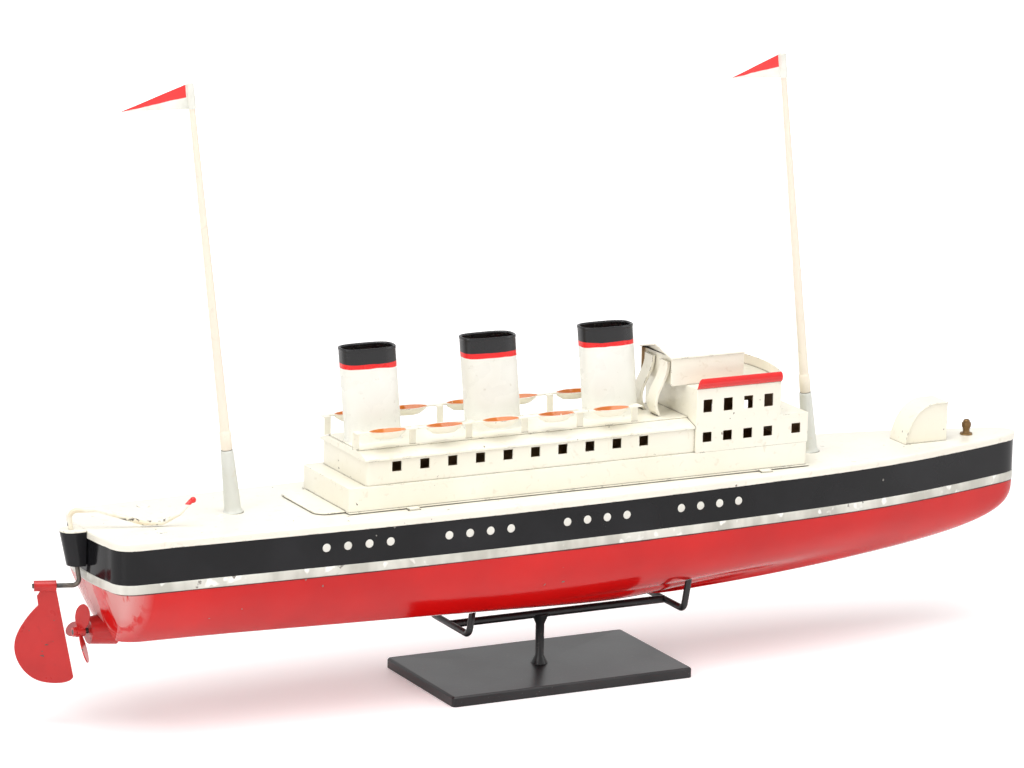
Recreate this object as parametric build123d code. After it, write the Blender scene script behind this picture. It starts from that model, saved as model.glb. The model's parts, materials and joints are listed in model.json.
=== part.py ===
"""Tinplate clockwork ocean liner on a wire display stand.  Millimetres, +X to the bow, +Y to port, +Z up.

The origin is the middle of the stand's underside.  On the boat, places are written as s, the distance
forward of the stern, y to port and z above the deck; `at(s, y, z)` turns them into the part's frame.
"""
from build123d import *
import os
from math import atan2, cos, degrees, pi, radians, sin

# ---------------------------------------------------------------- driving dimensions
HULL_LENGTH = 500.0        # stern to stem
HULL_BEAM = 81.0           # over the deck rim at its widest
KEEL_DEPTH = 63.0          # deck to the lowest point of the hull
DECK_HEIGHT = 96.0         # deck above the table
STERN_X = -236.0           # where the stern is, from the middle of the stand
TIN = 0.6                  # sheet used for every shell
GAP = 0.35                 # air between pieces that lift apart
RUN = 0.06                 # radial clearance of a turning or sliding fit

# hull
RIM_DROP = 3.6             # turned-down edge of the deck lid
BLACK_BAND = 16.2          # height of the black strake below that edge
SEAM_BAND = 4.4            # white soldered seam under the strake
STERN_CORNER = 11.0        # rounding of the stern in plan
STERN_BULGE = 2.5          # how far the transom bows aft
STERN_HALF, SHOULDER_HALF, FOREDECK_HALF, NOSE_HALF = 36.0, 35.4, 26.9, 9.4   # half beams
NOSE_LENGTH = 12.0
HULL_SLICES = 10
HULL_FULLNESS = 2.12       # power of the bilge curve
STERN_TUCK, WAIST_TUCK, SHOULDER_TUCK, FOREDECK_TUCK = 2.4, 1.45, 1.3, 1.9   # how fast each half beam narrows below
KEEL_FLAT = 2.4            # least half beam, along the keel
TRANSOM_RAKE = 13.0        # how far the red transom slopes forward
KEEL_AFT, KEEL_STEP = 214.0, 0.78      # length of the keel's rise aft, and the share of the depth it starts from
FOREFOOT = 196.0           # length of the cut-away under the bow
PORT_GROUPS, PORTS_IN_GROUP = 4, 4
PORT_FIRST, PORT_GROUP_PITCH, PORT_PITCH = 105.0, 62.0, 10.7
PORT_DROP, PORT_RADIUS, PORT_RAISE = 7.2, 2.0, 0.35

# stand
BASE_LENGTH, BASE_WIDTH, BASE_THICK, BASE_CORNER = 128.0, 74.0, 5.0, 2.0
WIRE = 1.6                 # radius of the cradle wire
SPINE = 1.9                # radius of the bar between the cradles
SPINE_DROP = 3.6           # centre of the bar below the keel
CRADLE_AFT, CRADLE_FORE = -48.0, 67.5
CRADLE_HALF = 20.0         # half length of a cradle's cross bar
CRADLE_SPREAD, CRADLE_BEND = 2.0, 3.4
POST, POST_FLARE, FLARE_LENGTH = 2.1, 4.2, 4.0
SCREW, SCREW_HEAD, SCREW_HEAD_HEIGHT = 1.5, 3.2, 2.0

# superstructure
HOUSE_AFT, HOUSE_FORE, HOUSE_HALF = 122.0, 366.0, 26.0
HOUSE_CORNER = 1.6
SKIRT_LENGTH, SKIRT_HALF, SKIRT_CORNER = 14.5, 22.5, 6.0       # flat lip behind the lower house
LOWER_HEIGHT = 12.2
UPPER_AFT, UPPER_HALF, UPPER_HEIGHT = 131.5, 24.4, 11.7
ROOF_LIP, ROOF_RISE, ROOF_EDGE = 1.0, 3.7, 1.0
BOAT_DECK_HALF = 17.0
WINDOW, WINDOW_TALL = 4.8, 6.2
WINDOW_COUNT, WINDOW_FIRST, WINDOW_PITCH, WINDOW_UP = 10, 147.1, 14.44, 8.3
BRIDGE_AFT, BRIDGE_FORE, BRIDGE_BOW = 304.5, 350.6, 4.5
BRIDGE_HEIGHT, FRONT_HEIGHT = 31.2, 14.6                       # above the lower house
BRIDGE_WINDOWS, BRIDGE_WINDOW_FIRST, BRIDGE_WINDOW_PITCH = 4, 310.6, 11.1
BRIDGE_LOW_UP, BRIDGE_HIGH_UP, FRONT_WINDOW_S = 7.3, 22.6, 359.4
BULWARK, DODGER_BULGE, DODGER_AFT_ROUND = 4.8, 1.4, 3.2
CHART_AFT, CHART_FORE, CHART_HALF = 295.9, 335.5, 15.4
CHART_WALL, CHART_RIDGE, CHART_EAVE = 13.4, 3.7, 0.7
CHART_RECESS = 1.8
HOOD_AFT, HOOD_FORE, HOOD_HALF, HOOD_HEIGHT, HOOD_CURVE, HOOD_LAP = 432.8, 456.8, 7.6, 19.6, 17.5, 0.7
STAIR_WIDTH, STAIR_SIDE, STAIR_RAIL, STAIR_HEAD = 8.0, 7.6, 1.3, -0.2
FUNNEL_LENGTH, FUNNEL_WIDTH, FUNNEL_HEIGHT = 30.0, 14.5, 45.0
FUNNEL_FIRST, FUNNEL_PITCH, FUNNEL_RAKE = 146.6, 62.6, 3.9
FUNNEL_RIM, FUNNEL_RIM_HEIGHT = 0.7, 1.6
BOAT_LENGTH, BOAT_WIDTH, BOAT_DEPTH = 20.5, 9.6, 3.8
BOAT_FIRST, BOAT_PITCH, BOAT_COUNT = 144.5, 29.3, 5
BOAT_SIDE, BOAT_UP, BOAT_LEG, BOAT_LINK = 19.4, 8.6, 3.2, 2.4
LEG_SIDE = 15.4
TAB_PLACES, TAB_LENGTH, TAB_REACH, TAB_DROP, TAB_PLAY = (154.0, 342.0), 5.6, 3.6, 3.0, 0.5

# masts
MAST_RAKE = 6.4
MAST_PLACES = {"aft": 75.0, "fore": 382.5}
MAST_LENGTHS = {"aft": 204.0, "fore": 200.0}
MAST_LOW, MAST_TOP = 2.3, 1.45           # radii of the pole
SOCKET_HEIGHT, SOCKET_BASE, SOCKET_TOP = 30.0, 4.0, 3.0
FERRULE_HEIGHT, FERRULE = 8.6, 2.7
SPIGOT_LENGTH, SPIGOT = 22.0, 2.0
PENNANT_LENGTHS = {"aft": 34.0, "fore": 28.0}
PENNANT_HEIGHT = 11.5
PENNANT_TIN = 0.5

# rudder and propeller
STOCK_RAKE = 9.0
STOCK = 1.1                # radius of the bent wire
STOCK_S = -5.4             # where the stock meets deck level
RUDDER_TURN = 17.0         # tiller left standing to starboard
TRUNK_DEPTH, TRUNK_HALF, TRUNK_TAPER, TRUNK_CAP = 17.0, 5.6, 0.86, 0.8
BLADE_THICK, KNUCKLE, KNUCKLE_LENGTH, ARM_DEPTH, ARM_REACH = 0.9, 2.5, 11.0, 27.0, 17.6
TILLER_REACH = 55.0
SHAFT, SHAFT_DEPTH = 1.25, 49.0
PROP_RADIUS, PROP_BLADES, PROP_PITCH, PROP_HUB, PROP_HUB_LENGTH = 15.5, 3, 38.0, 2.5, 4.0
PROP_S = -3.2              # aft face of the hub
TUBE_AFT, TUBE_FORE, TUBE_START = 6.2, 7.7, 2.6

# clockwork
MODULE = 1.0
WHEEL_TEETH, PINION_TEETH, CROWN_TEETH, LANTERN_PINS = 40, 10, 30, 10
MOTOR_S = 170.0            # barrel arbor
PLATE_THICK, PLATE_HALF, PLATE_TOP, PLATE_BOTTOM = 1.0, 11.0, -12.0, -54.7
PLATE_AFT, PLATE_FORE = 122.0, 196.0
BARREL, BARREL_HEIGHT, BARREL_LOW = 17.0, 14.0, -30.4
WHEEL_THICK, PINION_LENGTH = 1.6, 5.0
CROWN_DISC, CROWN_TOOTH, CROWN_TOOTH_WIDTH, CROWN_RING = 1.4, 3.2, 0.8, 2.4
CROWN_OUTER = 15.1
ARBOR, BARREL_ARBOR, WINDING_SQUARE = 1.2, 2.0, 3.2
LANTERN_PIN, LANTERN_LENGTH = 0.5, 4.4
PILLAR, FOOT = 1.8, 5.0
SPRING_TURNS, SPRING_TIN, SPRING_HEIGHT = 6, 0.45, 11.0
HATCH_HALF, HATCH_AFT, HATCH_FORE = 19.5, 134.0, 196.0
BOSS, BOSS_PLACE = 3.2, (41.0, 26.0)     # pressed boss on the after deck

STAND = (Align.CENTER, Align.CENTER, Align.MIN)
IDLER_S = MOTOR_S - MODULE * (WHEEL_TEETH + PINION_TEETH) / 2

SEAM_TOP = -RIM_DROP - BLACK_BAND
SEAM_LOW = SEAM_TOP - SEAM_BAND
HULL_JOIN = (SEAM_TOP + SEAM_LOW) / 2
HOUSE_TOP = LOWER_HEIGHT
ROOF_LOW = HOUSE_TOP + UPPER_HEIGHT
ROOF_TOP = ROOF_LOW + ROOF_RISE
BOAT_DECK = ROOF_TOP + TIN
BRIDGE_TOP = HOUSE_TOP + BRIDGE_HEIGHT
TAB_Y = HOUSE_HALF + TAB_REACH


# ---------------------------------------------------------------- helpers
def at(s, y=0.0, z=0.0):
    """A point on the boat: s forward of the stern, y to port, z above the deck."""
    return (STERN_X + s, y, DECK_HEIGHT + z)


def block(s0, s1, y0, y1, z0, z1):
    """A box between two corners in boat coordinates."""
    return Pos(*at((s0 + s1) / 2, (y0 + y1) / 2, (z0 + z1) / 2)) * Box(s1 - s0, y1 - y0, z1 - z0)


def rod(start, end, radius, end_radius=None):
    """A round bar, or a cone, between two points of the part's frame."""
    a, b = Vector(*start), Vector(*end)
    if end_radius is None:
        return extrude(Plane(origin=a, z_dir=b - a) * Circle(radius), (b - a).length)
    return loft([Plane(origin=a, z_dir=b - a) * Circle(radius), Plane(origin=b, z_dir=b - a) * Circle(end_radius)])


def bent_wire(points, bends, radius):
    """Round wire along straight runs joined by arcs."""
    path = FilletPolyline(*points, radius=bends)
    return sweep(Plane(origin=path @ 0, z_dir=path % 0) * Circle(radius), path=path)


def face_of(curves):
    """The flat face inside a closed run of curves."""
    return make_face(Wire([edge for curve in curves for edge in curve.edges()]))


def side_sheet(curves, y0, y1):
    """A closed outline drawn on the centre plane in boat s and z, spread from y0 to y1."""
    face = face_of(curves)
    return Pos(0, y1, 0) * extrude(face, y1 - y0, dir=(0, -1, 0))


def on_side(points):
    """Boat s, z pairs as points of the centre plane."""
    return [at(s, 0, z) for s, z in points]


# ---------------------------------------------------------------- hull
def waterline(aft, fore, width, z, inset=0.0):
    """A level slice of the hull: bowed transom, full sides and a blunt nose."""
    a, length = aft + inset, fore - aft - 2 * inset
    stern_y, waist_y, shoulder_y, foredeck_y = [max(half * width ** tuck, KEEL_FLAT) - inset for half, tuck in (
        (STERN_HALF, STERN_TUCK), (HULL_BEAM / 2, WAIST_TUCK), (SHOULDER_HALF, SHOULDER_TUCK),
        (FOREDECK_HALF, FOREDECK_TUCK))]
    corner = min(STERN_CORNER * width, 0.6 * stern_y)
    nose, nose_y = NOSE_LENGTH * length / HULL_LENGTH, NOSE_HALF * width ** 0.5 - 0.8 * inset
    side = Spline(
        (a + corner, stern_y), (a + 0.28 * length, waist_y), (a + 0.68 * length, shoulder_y),
        (a + 0.838 * length, foredeck_y),
        (a + length - nose, nose_y), tangents=[(1, 0.03), (1, -0.3)])
    tip = Bezier((a + length - nose, nose_y), (a + length - 0.36 * nose, nose_y - 0.19 * nose),
                 (a + length, 0.45 * nose_y), (a + length, 0))
    turn = Bezier((a, stern_y - corner), (a, stern_y - 0.4 * corner), (a + 0.4 * corner, stern_y),
                  (a + corner, stern_y))
    back = ThreePointArc((a, corner - stern_y), (a - STERN_BULGE * width, 0), (a, stern_y - corner))
    edges = [back]
    for edge in (turn, side, tip):
        edges += [edge, edge.mirror(Plane.XZ)]
    return Pos(*at(0, 0, z)) * face_of(edges)


def deck_prism(inset, low, high):
    """The deck outline carried upright between two heights."""
    return extrude(waterline(STERN_BULGE, HULL_LENGTH, 1.0, low, inset), high - low)


def hull_slices():
    """Level slices down a superellipse: share of the depth, aft end, distance short of the stem, width."""
    slices = []
    for i in range(HULL_SLICES + 1):
        turn = radians(84.0 * i / HULL_SLICES)
        share, width = sin(turn) ** (2 / HULL_FULLNESS), cos(turn) ** (2 / HULL_FULLNESS)
        rise = max(0.0, (share - KEEL_STEP) / (1 - KEEL_STEP)) ** 0.87
        aft = STERN_BULGE + TRANSOM_RAKE * share + KEEL_AFT * rise
        slices.append((share, aft, FOREFOOT * share ** 3.6, width))
    return slices


def hull_solid(inset):
    """All that lies inside the lower hull at one depth of skin."""
    depth = KEEL_DEPTH + HULL_JOIN - inset
    return loft([waterline(aft, HULL_LENGTH - short, width, HULL_JOIN - share * depth, inset)
                 for share, aft, short, width in hull_slices()], ruled=True)


def side_at(s):
    """Half beam of the deck line at one station."""
    slit = Pos(*at(s)) * Box(0.2, 2 * HULL_BEAM, 1.0)
    return (waterline(STERN_BULGE, HULL_LENGTH, 1.0, 0.0) & slit).bounding_box().max.Y


def portholes(side, strake):
    """Four groups of four white eyelets along one side of the strake."""
    eyelets = []
    for group in range(PORT_GROUPS):
        for i in range(PORTS_IN_GROUP):
            s = PORT_FIRST + group * PORT_GROUP_PITCH + i * PORT_PITCH
            lean = degrees(atan2(side_at(s + 4) - side_at(s - 4), 8))
            place = Pos(*at(s, side * (side_at(s) - TIN), -RIM_DROP - PORT_DROP)) * Rot(0, 0, side * lean)
            eyelets.append(place * Rot(90, 0, 0) * Cylinder(PORT_RADIUS, 2 * PORT_RAISE))
    inside = deck_prism(1.5 * TIN, HULL_JOIN, -TIN)
    return [eyelet - strake - inside for eyelet in eyelets]


def deck_lid():
    """Cream deck with its turned-down rim, the winding hatch and four tab slots."""
    lid = deck_prism(0, -RIM_DROP, 0) - deck_prism(TIN, -RIM_DROP, -TIN)
    lid -= block(HATCH_AFT, HATCH_FORE, -HATCH_HALF, HATCH_HALF, -2, 1)
    lid += Pos(*at(*BOSS_PLACE)) * Cylinder(BOSS, 0.5, align=STAND)
    for s in TAB_PLACES:
        for side in (-1, 1):
            half, y = TAB_LENGTH / 2 + TAB_PLAY, side * TAB_Y
            lid -= block(s - half, s + half, y - TAB_PLAY - TIN / 2, y + TAB_PLAY + TIN / 2, -2, 1)
    return lid


def stern_tube():
    """Tapered tube that carries the propeller shaft out through the transom."""
    start, end = at(TUBE_START, 0, -SHAFT_DEPTH), at(TUBE_START + TRANSOM_RAKE, 0, -SHAFT_DEPTH)
    return rod(start, end, TUBE_AFT, TUBE_FORE) - hull_solid(TIN) - shaft_bore()


def shaft_bore():
    return rod(at(-10, 0, -SHAFT_DEPTH), at(MOTOR_S, 0, -SHAFT_DEPTH), SHAFT + RUN)


def foredeck_hood():
    """Curved back sheet of the foredeck hood and its two flat cheeks."""
    def profile(inset):
        low, back, front, top = 0.0, HOOD_AFT + inset, HOOD_FORE, HOOD_HEIGHT - inset
        flat = back + HOOD_CURVE
        curve = Bezier(*on_side([(back, low), (back + 0.07 * HOOD_CURVE, 0.5 * top), (back + 0.4 * HOOD_CURVE, top),
                                 (flat, top)]))
        return [curve, Polyline(*on_side([(flat, top), (front, top), (front, low), (back, low)]))]
    half, inner = HOOD_HALF, HOOD_HALF - HOOD_LAP
    sheet = side_sheet(profile(0), -half, half) - side_sheet(profile(TIN), -half - 1, half + 1)
    cheeks = [side_sheet(profile(TIN), side * inner - (TIN if side > 0 else 0),
                         side * inner + (0 if side > 0 else TIN)) for side in (-1, 1)]
    return sheet, cheeks


def capstan():
    """Turned brass capstan on a flange."""
    radii = [(0, 3.1), (1.0, 3.1), (1.2, 2.0), (2.6, 1.7), (4.6, 2.3), (6.2, 2.3), (7.0, 1.5), (7.8, 1.2), (7.8, 0)]
    outline = make_face(Polyline((0, 0, 0), *[(r, 0, z) for z, r in radii], (0, 0, 0)))
    return Pos(*at(472.5)) * revolve(outline, Axis.Z)


# ---------------------------------------------------------------- rudder
def stock_point(z, forward=0.0):
    """A point of the raked stock axis, at a height above the deck."""
    return at(STOCK_S - z * sin(radians(STOCK_RAKE)) / cos(radians(STOCK_RAKE)) + forward, 0, z)


def turned(shape):
    """Swing a rudder piece about the stock to where the tiller was left standing."""
    low, high = Vector(*stock_point(0)), Vector(*stock_point(1))
    return shape.rotate(Axis(low, high - low), -RUDDER_TURN)


def rudder_trunk():
    """Black sheet bracket with a rounded back, bored for the rudder stock, and its cream cap."""
    def slab(z0, z1, half0, half1):
        faces = []
        for z, half in ((z0, half0), (z1, half1)):
            x, _, height = stock_point(z)
            front = STERN_X + STERN_BULGE + 4
            back = ThreePointArc((x, half), (x - half, 0), (x, -half))
            sides = Polyline((x, -half), (front, -half), (front, half), (x, half))
            faces.append(Pos(0, 0, height) * face_of([back, sides]))
        return loft(faces, ruled=True) - deck_prism(0, SEAM_LOW - 10, 5) - bore
    bore = rod(stock_point(-TRUNK_DEPTH - 5), stock_point(8), STOCK + RUN)
    bracket = slab(-TRUNK_DEPTH, -TRUNK_CAP, TRUNK_HALF * TRUNK_TAPER, TRUNK_HALF)
    cap = slab(-TRUNK_CAP, 0.0, TRUNK_HALF, TRUNK_HALF)
    return bracket, cap


def rudder_wire():
    """One bent wire: tiller, stock and the arm that the blade hangs from."""
    reach = TILLER_REACH
    tiller = [at(STOCK_S + share * reach, 0, z) for share, z in
              ((1.0, 12.6), (0.90, 6.4), (0.76, 2.1), (0.60, 2.1), (0.44, 5.0), (0.22, 8.8))]
    points = tiller + [stock_point(8.8), stock_point(-ARM_DEPTH), at(STOCK_S - ARM_REACH, 0, -ARM_DEPTH)]
    return bent_wire(points, [5, 5, 5, 5, 6, 3.5, 3.0], STOCK)


def rudder_blade():
    """Flat half-round blade hung from a knuckle rolled round the arm."""
    knuckle_s = STOCK_S - ARM_REACH + KNUCKLE_LENGTH
    a, b = at(STOCK_S - ARM_REACH + 0.8, 0, -ARM_DEPTH), at(knuckle_s, 0, -ARM_DEPTH)
    top = -ARM_DEPTH - 0.7 * KNUCKLE
    aft = STOCK_S - ARM_REACH + 2.2
    neck, lead_low = (aft + 0.6, top - 7.5), (-3.8, -71.0)
    curve = Spline(*on_side([neck, (-27.6, -45.5), (-31.0, -55.0), (-27.4, -66.5), (-17.0, -73.4)]))
    heel = Bezier(*on_side([(-17.0, -73.4), (-11.5, -74.6), (-4.6, -74.2), lead_low]))
    rest = Polyline(*on_side([lead_low, (knuckle_s, top), (aft + 2, top), (aft, top - 3), neck]))
    plate = side_sheet([curve, heel, rest], -BLADE_THICK / 2, BLADE_THICK / 2)
    knuckle = rod(a, b, KNUCKLE)
    return plate + knuckle - rod(at(-60, 0, -ARM_DEPTH), b, STOCK)


# ---------------------------------------------------------------- masts
def mast_point(place, up, aside=0.0):
    """A point up a raked mast, and aft of it by `aside`."""
    lean = radians(MAST_RAKE)
    return at(MAST_PLACES[place] - up * sin(lean) - aside * cos(lean), 0, up * cos(lean) - aside * sin(lean))


def mast_socket(place):
    """Tapered tube standing on the deck, bored for the foot of the mast."""
    tube = rod(mast_point(place, -3), mast_point(place, SOCKET_HEIGHT), SOCKET_BASE, SOCKET_TOP)
    tube -= rod(mast_point(place, SOCKET_HEIGHT - SPIGOT_LENGTH - 1), mast_point(place, SOCKET_HEIGHT + 1),
                SPIGOT + RUN)
    s = MAST_PLACES[place]
    return tube - block(s - 10, s + 10, -10, 10, -8, 0)


def mast(place):
    """Turned pole with a ferrule and a spigot that drops into the socket."""
    foot, top = SOCKET_HEIGHT + GAP, MAST_LENGTHS[place]
    collar = foot + FERRULE_HEIGHT
    hoist = top - PENNANT_HEIGHT - 1
    pieces = [
        rod(mast_point(place, SOCKET_HEIGHT - SPIGOT_LENGTH), mast_point(place, foot), SPIGOT),
        rod(mast_point(place, foot), mast_point(place, collar), FERRULE),
        rod(mast_point(place, collar), mast_point(place, hoist), MAST_LOW, MAST_TOP),
        rod(mast_point(place, hoist), mast_point(place, top), MAST_TOP)]
    return pieces[0] + pieces[1] + pieces[2] + pieces[3]


def pennant(place):
    """Tin pennant wrapped round the masthead."""
    top = MAST_LENGTHS[place] - 0.6
    low = top - PENNANT_HEIGHT
    outer = MAST_TOP + PENNANT_TIN
    wrap = rod(mast_point(place, low), mast_point(place, top), outer)
    fly = make_face(Polyline(mast_point(place, low), mast_point(place, top), mast_point(
        place, low + 0.38 * PENNANT_HEIGHT, PENNANT_LENGTHS[place]), mast_point(place, low)))
    flag = Pos(0, PENNANT_TIN / 2, 0) * extrude(fly, PENNANT_TIN, dir=(0, -1, 0))
    return wrap + flag - rod(mast_point(place, low - 1), mast_point(place, top + 1), MAST_TOP)


# ---------------------------------------------------------------- superstructure
def house_base():
    """Flat flange under the houses, with the lip aft and four tabs that drop into the deck."""
    skirt = RectangleRounded(2 * SKIRT_LENGTH, 2 * SKIRT_HALF, SKIRT_CORNER)
    base = Pos(*at(HOUSE_AFT, 0, GAP)) * extrude(skirt, TIN)
    base += block(HOUSE_AFT, HOUSE_FORE + 1, -HOUSE_HALF - 0.8, HOUSE_HALF + 0.8, GAP, GAP + TIN)
    base -= block(HOUSE_AFT + 3, HOUSE_FORE - 3, -HOUSE_HALF + 3, HOUSE_HALF - 3, -1, 3)
    for s in TAB_PLACES:
        for side in (-1, 1):
            half = TAB_LENGTH / 2
            y = sorted((side * (HOUSE_HALF - 1), side * (TAB_Y + TIN / 2)))
            base += block(s - half, s + half, *y, GAP, GAP + TIN)
            base += block(s - half, s + half, side * TAB_Y - TIN / 2, side * TAB_Y + TIN / 2, -TAB_DROP, GAP + TIN)
    return base


def house_box(aft, fore, half, low, high):
    """An upright box with rounded corners."""
    outline = RectangleRounded(fore - aft, 2 * half, HOUSE_CORNER)
    return Pos(*at((aft + fore) / 2, 0, low)) * extrude(outline, high - low)


def lower_house():
    low = GAP + TIN
    house = house_box(HOUSE_AFT, HOUSE_FORE, HOUSE_HALF, low, HOUSE_TOP)
    house -= house_box(HOUSE_AFT + TIN, HOUSE_FORE - TIN, HOUSE_HALF - TIN, low, HOUSE_TOP - TIN)
    return house - block(UPPER_AFT + 3, HOUSE_FORE - 6, 3 - UPPER_HALF, UPPER_HALF - 3, HOUSE_TOP - 2, HOUSE_TOP + 1)


def window_holes(first, pitch, count, z, tall):
    """A row of square windows through both sides."""
    half = HOUSE_HALF + 2
    return [block(first + i * pitch - WINDOW / 2, first + i * pitch + WINDOW / 2, -half, half,
                  z - tall / 2, z + tall / 2) for i in range(count)]


def upper_house():
    """Windowed wall of the passenger house, butted against the bridge."""
    house = house_box(UPPER_AFT, BRIDGE_AFT + 4, UPPER_HALF, HOUSE_TOP, ROOF_LOW)
    house -= house_box(UPPER_AFT + TIN, BRIDGE_AFT + 6, UPPER_HALF - TIN, HOUSE_TOP, ROOF_LOW)
    house -= block(BRIDGE_AFT, BRIDGE_AFT + 10, -HOUSE_HALF, HOUSE_HALF, HOUSE_TOP, ROOF_LOW)
    for hole in window_holes(WINDOW_FIRST, WINDOW_PITCH, WINDOW_COUNT, HOUSE_TOP + WINDOW_UP, WINDOW):
        house -= hole
    return house


def upper_roof():
    """Folded roof with sloping shoulders and closed end."""
    def section(inset):
        edge, top = UPPER_HALF + ROOF_LIP - inset, ROOF_TOP - inset
        half = [(edge, ROOF_LOW), (edge, ROOF_LOW + ROOF_EDGE), (BOAT_DECK_HALF, top)]
        points = [(0, y, DECK_HEIGHT + z) for y, z in half + [(-y, z) for y, z in reversed(half)]]
        return make_face(Polyline(*points, points[0]))
    aft = UPPER_AFT - ROOF_LIP
    outer = Pos(STERN_X + aft, 0, 0) * extrude(section(0), BRIDGE_AFT - aft, dir=(1, 0, 0))
    inner = Pos(STERN_X + aft + TIN, 0, 0) * extrude(section(TIN), BRIDGE_AFT - aft, dir=(1, 0, 0))
    return outer - inner


def boat_deck():
    return block(UPPER_AFT - 0.4, BRIDGE_AFT, -BOAT_DECK_HALF, BOAT_DECK_HALF, ROOF_TOP, BOAT_DECK)


def lifeboat(s, y):
    """One pressed boat of a strip: a shallow pan with pointed ends."""
    def outline(length, width, z):
        tip, side = length / 2, width / 2
        arcs = [ThreePointArc((-tip, 0), (0, sign * side), (tip, 0)) for sign in (-1, 1)]
        return Pos(*at(s, y, z)) * face_of(arcs)
    top, low = BOAT_DECK + BOAT_UP, BOAT_DECK + BOAT_UP - BOAT_DEPTH
    shell = loft([outline(BOAT_LENGTH, BOAT_WIDTH, top),
                  outline(0.86 * BOAT_LENGTH, 0.80 * BOAT_WIDTH, (top + low) / 2),
                  outline(0.55 * BOAT_LENGTH, 0.36 * BOAT_WIDTH, low)], ruled=True)
    well = loft([outline(BOAT_LENGTH - 2.4, BOAT_WIDTH - 1.5, top),
                 outline(0.70 * BOAT_LENGTH, 0.55 * BOAT_WIDTH, (top + low) / 2)], ruled=True)
    return shell - well


def lifeboats(side):
    """Five boats joined by links in one pressed strip, on six bent legs."""
    top, y = BOAT_DECK + BOAT_UP, side * BOAT_SIDE
    boats = [lifeboat(BOAT_FIRST + i * BOAT_PITCH, y) for i in range(BOAT_COUNT)]
    strip = sum(boats[1:], boats[0])
    reach = (BOAT_PITCH - BOAT_LENGTH) / 2 + 1.4
    for i in range(BOAT_COUNT + 1):
        s = BOAT_FIRST + (i - 0.5) * BOAT_PITCH
        aft = s - (reach if i > 0 else BOAT_LEG / 2)
        fore = s + (reach if i < BOAT_COUNT else BOAT_LEG / 2)
        strip += block(aft, fore, y - BOAT_LINK / 2, y + BOAT_LINK / 2, top - TIN, top)
        inner, leg = side * LEG_SIDE, side * (LEG_SIDE + TIN)
        strip += block(s - BOAT_LEG / 2, s + BOAT_LEG / 2, *sorted((inner, y)), top - TIN, top)
        strip += block(s - BOAT_LEG / 2, s + BOAT_LEG / 2, *sorted((inner, leg)), BOAT_DECK, top)
    return strip


def funnel(number):
    """Raked oval tube with a rolled rim."""
    s = FUNNEL_FIRST + number * FUNNEL_PITCH

    def oval(inset, up):
        lean = FUNNEL_RAKE * up / FUNNEL_HEIGHT
        slot = SlotOverall(FUNNEL_LENGTH - 2 * inset, FUNNEL_WIDTH - 2 * inset)
        return Pos(*at(s - lean, 0, BOAT_DECK + up)) * slot
    high = FUNNEL_HEIGHT
    tube = loft([oval(0, 0), oval(0, high)])
    tube += loft([oval(-FUNNEL_RIM, high - FUNNEL_RIM_HEIGHT), oval(-FUNNEL_RIM, high)])
    return tube - loft([oval(TIN, 0), oval(TIN, high)])


def bridge_outline(inset, z):
    """Bridge plan: straight sides and aft wall, front bowed forward."""
    aft, fore, half = BRIDGE_AFT + inset, BRIDGE_FORE - inset, HOUSE_HALF - inset
    front = ThreePointArc(at(fore, -half, z), at(fore + BRIDGE_BOW, 0, z), at(fore, half, z))
    return face_of([front, Polyline(at(fore, half, z), at(aft, half, z), at(aft, -half, z), at(fore, -half, z))])


def bridge_house():
    """Bent side walls, bridge deck and the low front part in one sheet, open below."""
    front_top = HOUSE_TOP + FRONT_HEIGHT
    solid = extrude(bridge_outline(0, HOUSE_TOP), BRIDGE_HEIGHT)
    solid += block(BRIDGE_AFT, HOUSE_FORE, -HOUSE_HALF, HOUSE_HALF, HOUSE_TOP, front_top)
    solid -= extrude(bridge_outline(TIN, HOUSE_TOP), BRIDGE_HEIGHT - TIN)
    solid -= block(BRIDGE_AFT + TIN, HOUSE_FORE - TIN, TIN - HOUSE_HALF, HOUSE_HALF - TIN, HOUSE_TOP, front_top - TIN)
    low, high = HOUSE_TOP + BRIDGE_LOW_UP, HOUSE_TOP + BRIDGE_HIGH_UP
    for hole in (window_holes(BRIDGE_WINDOW_FIRST, BRIDGE_WINDOW_PITCH, BRIDGE_WINDOWS, low, WINDOW)
                 + window_holes(BRIDGE_WINDOW_FIRST, BRIDGE_WINDOW_PITCH, BRIDGE_WINDOWS, high, WINDOW_TALL)
                 + window_holes(FRONT_WINDOW_S, 1, 1, low, WINDOW)):
        solid -= hole
    return solid


def bridge_bulwark():
    """Curved screen along the front of the bridge deck."""
    screen = extrude(bridge_outline(0, BRIDGE_TOP), BULWARK) - extrude(bridge_outline(TIN, BRIDGE_TOP), BULWARK)
    return screen - block(BRIDGE_AFT - 1, BRIDGE_FORE, -HOUSE_HALF - 1, HOUSE_HALF + 1, BRIDGE_TOP, BRIDGE_TOP + 9)


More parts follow.
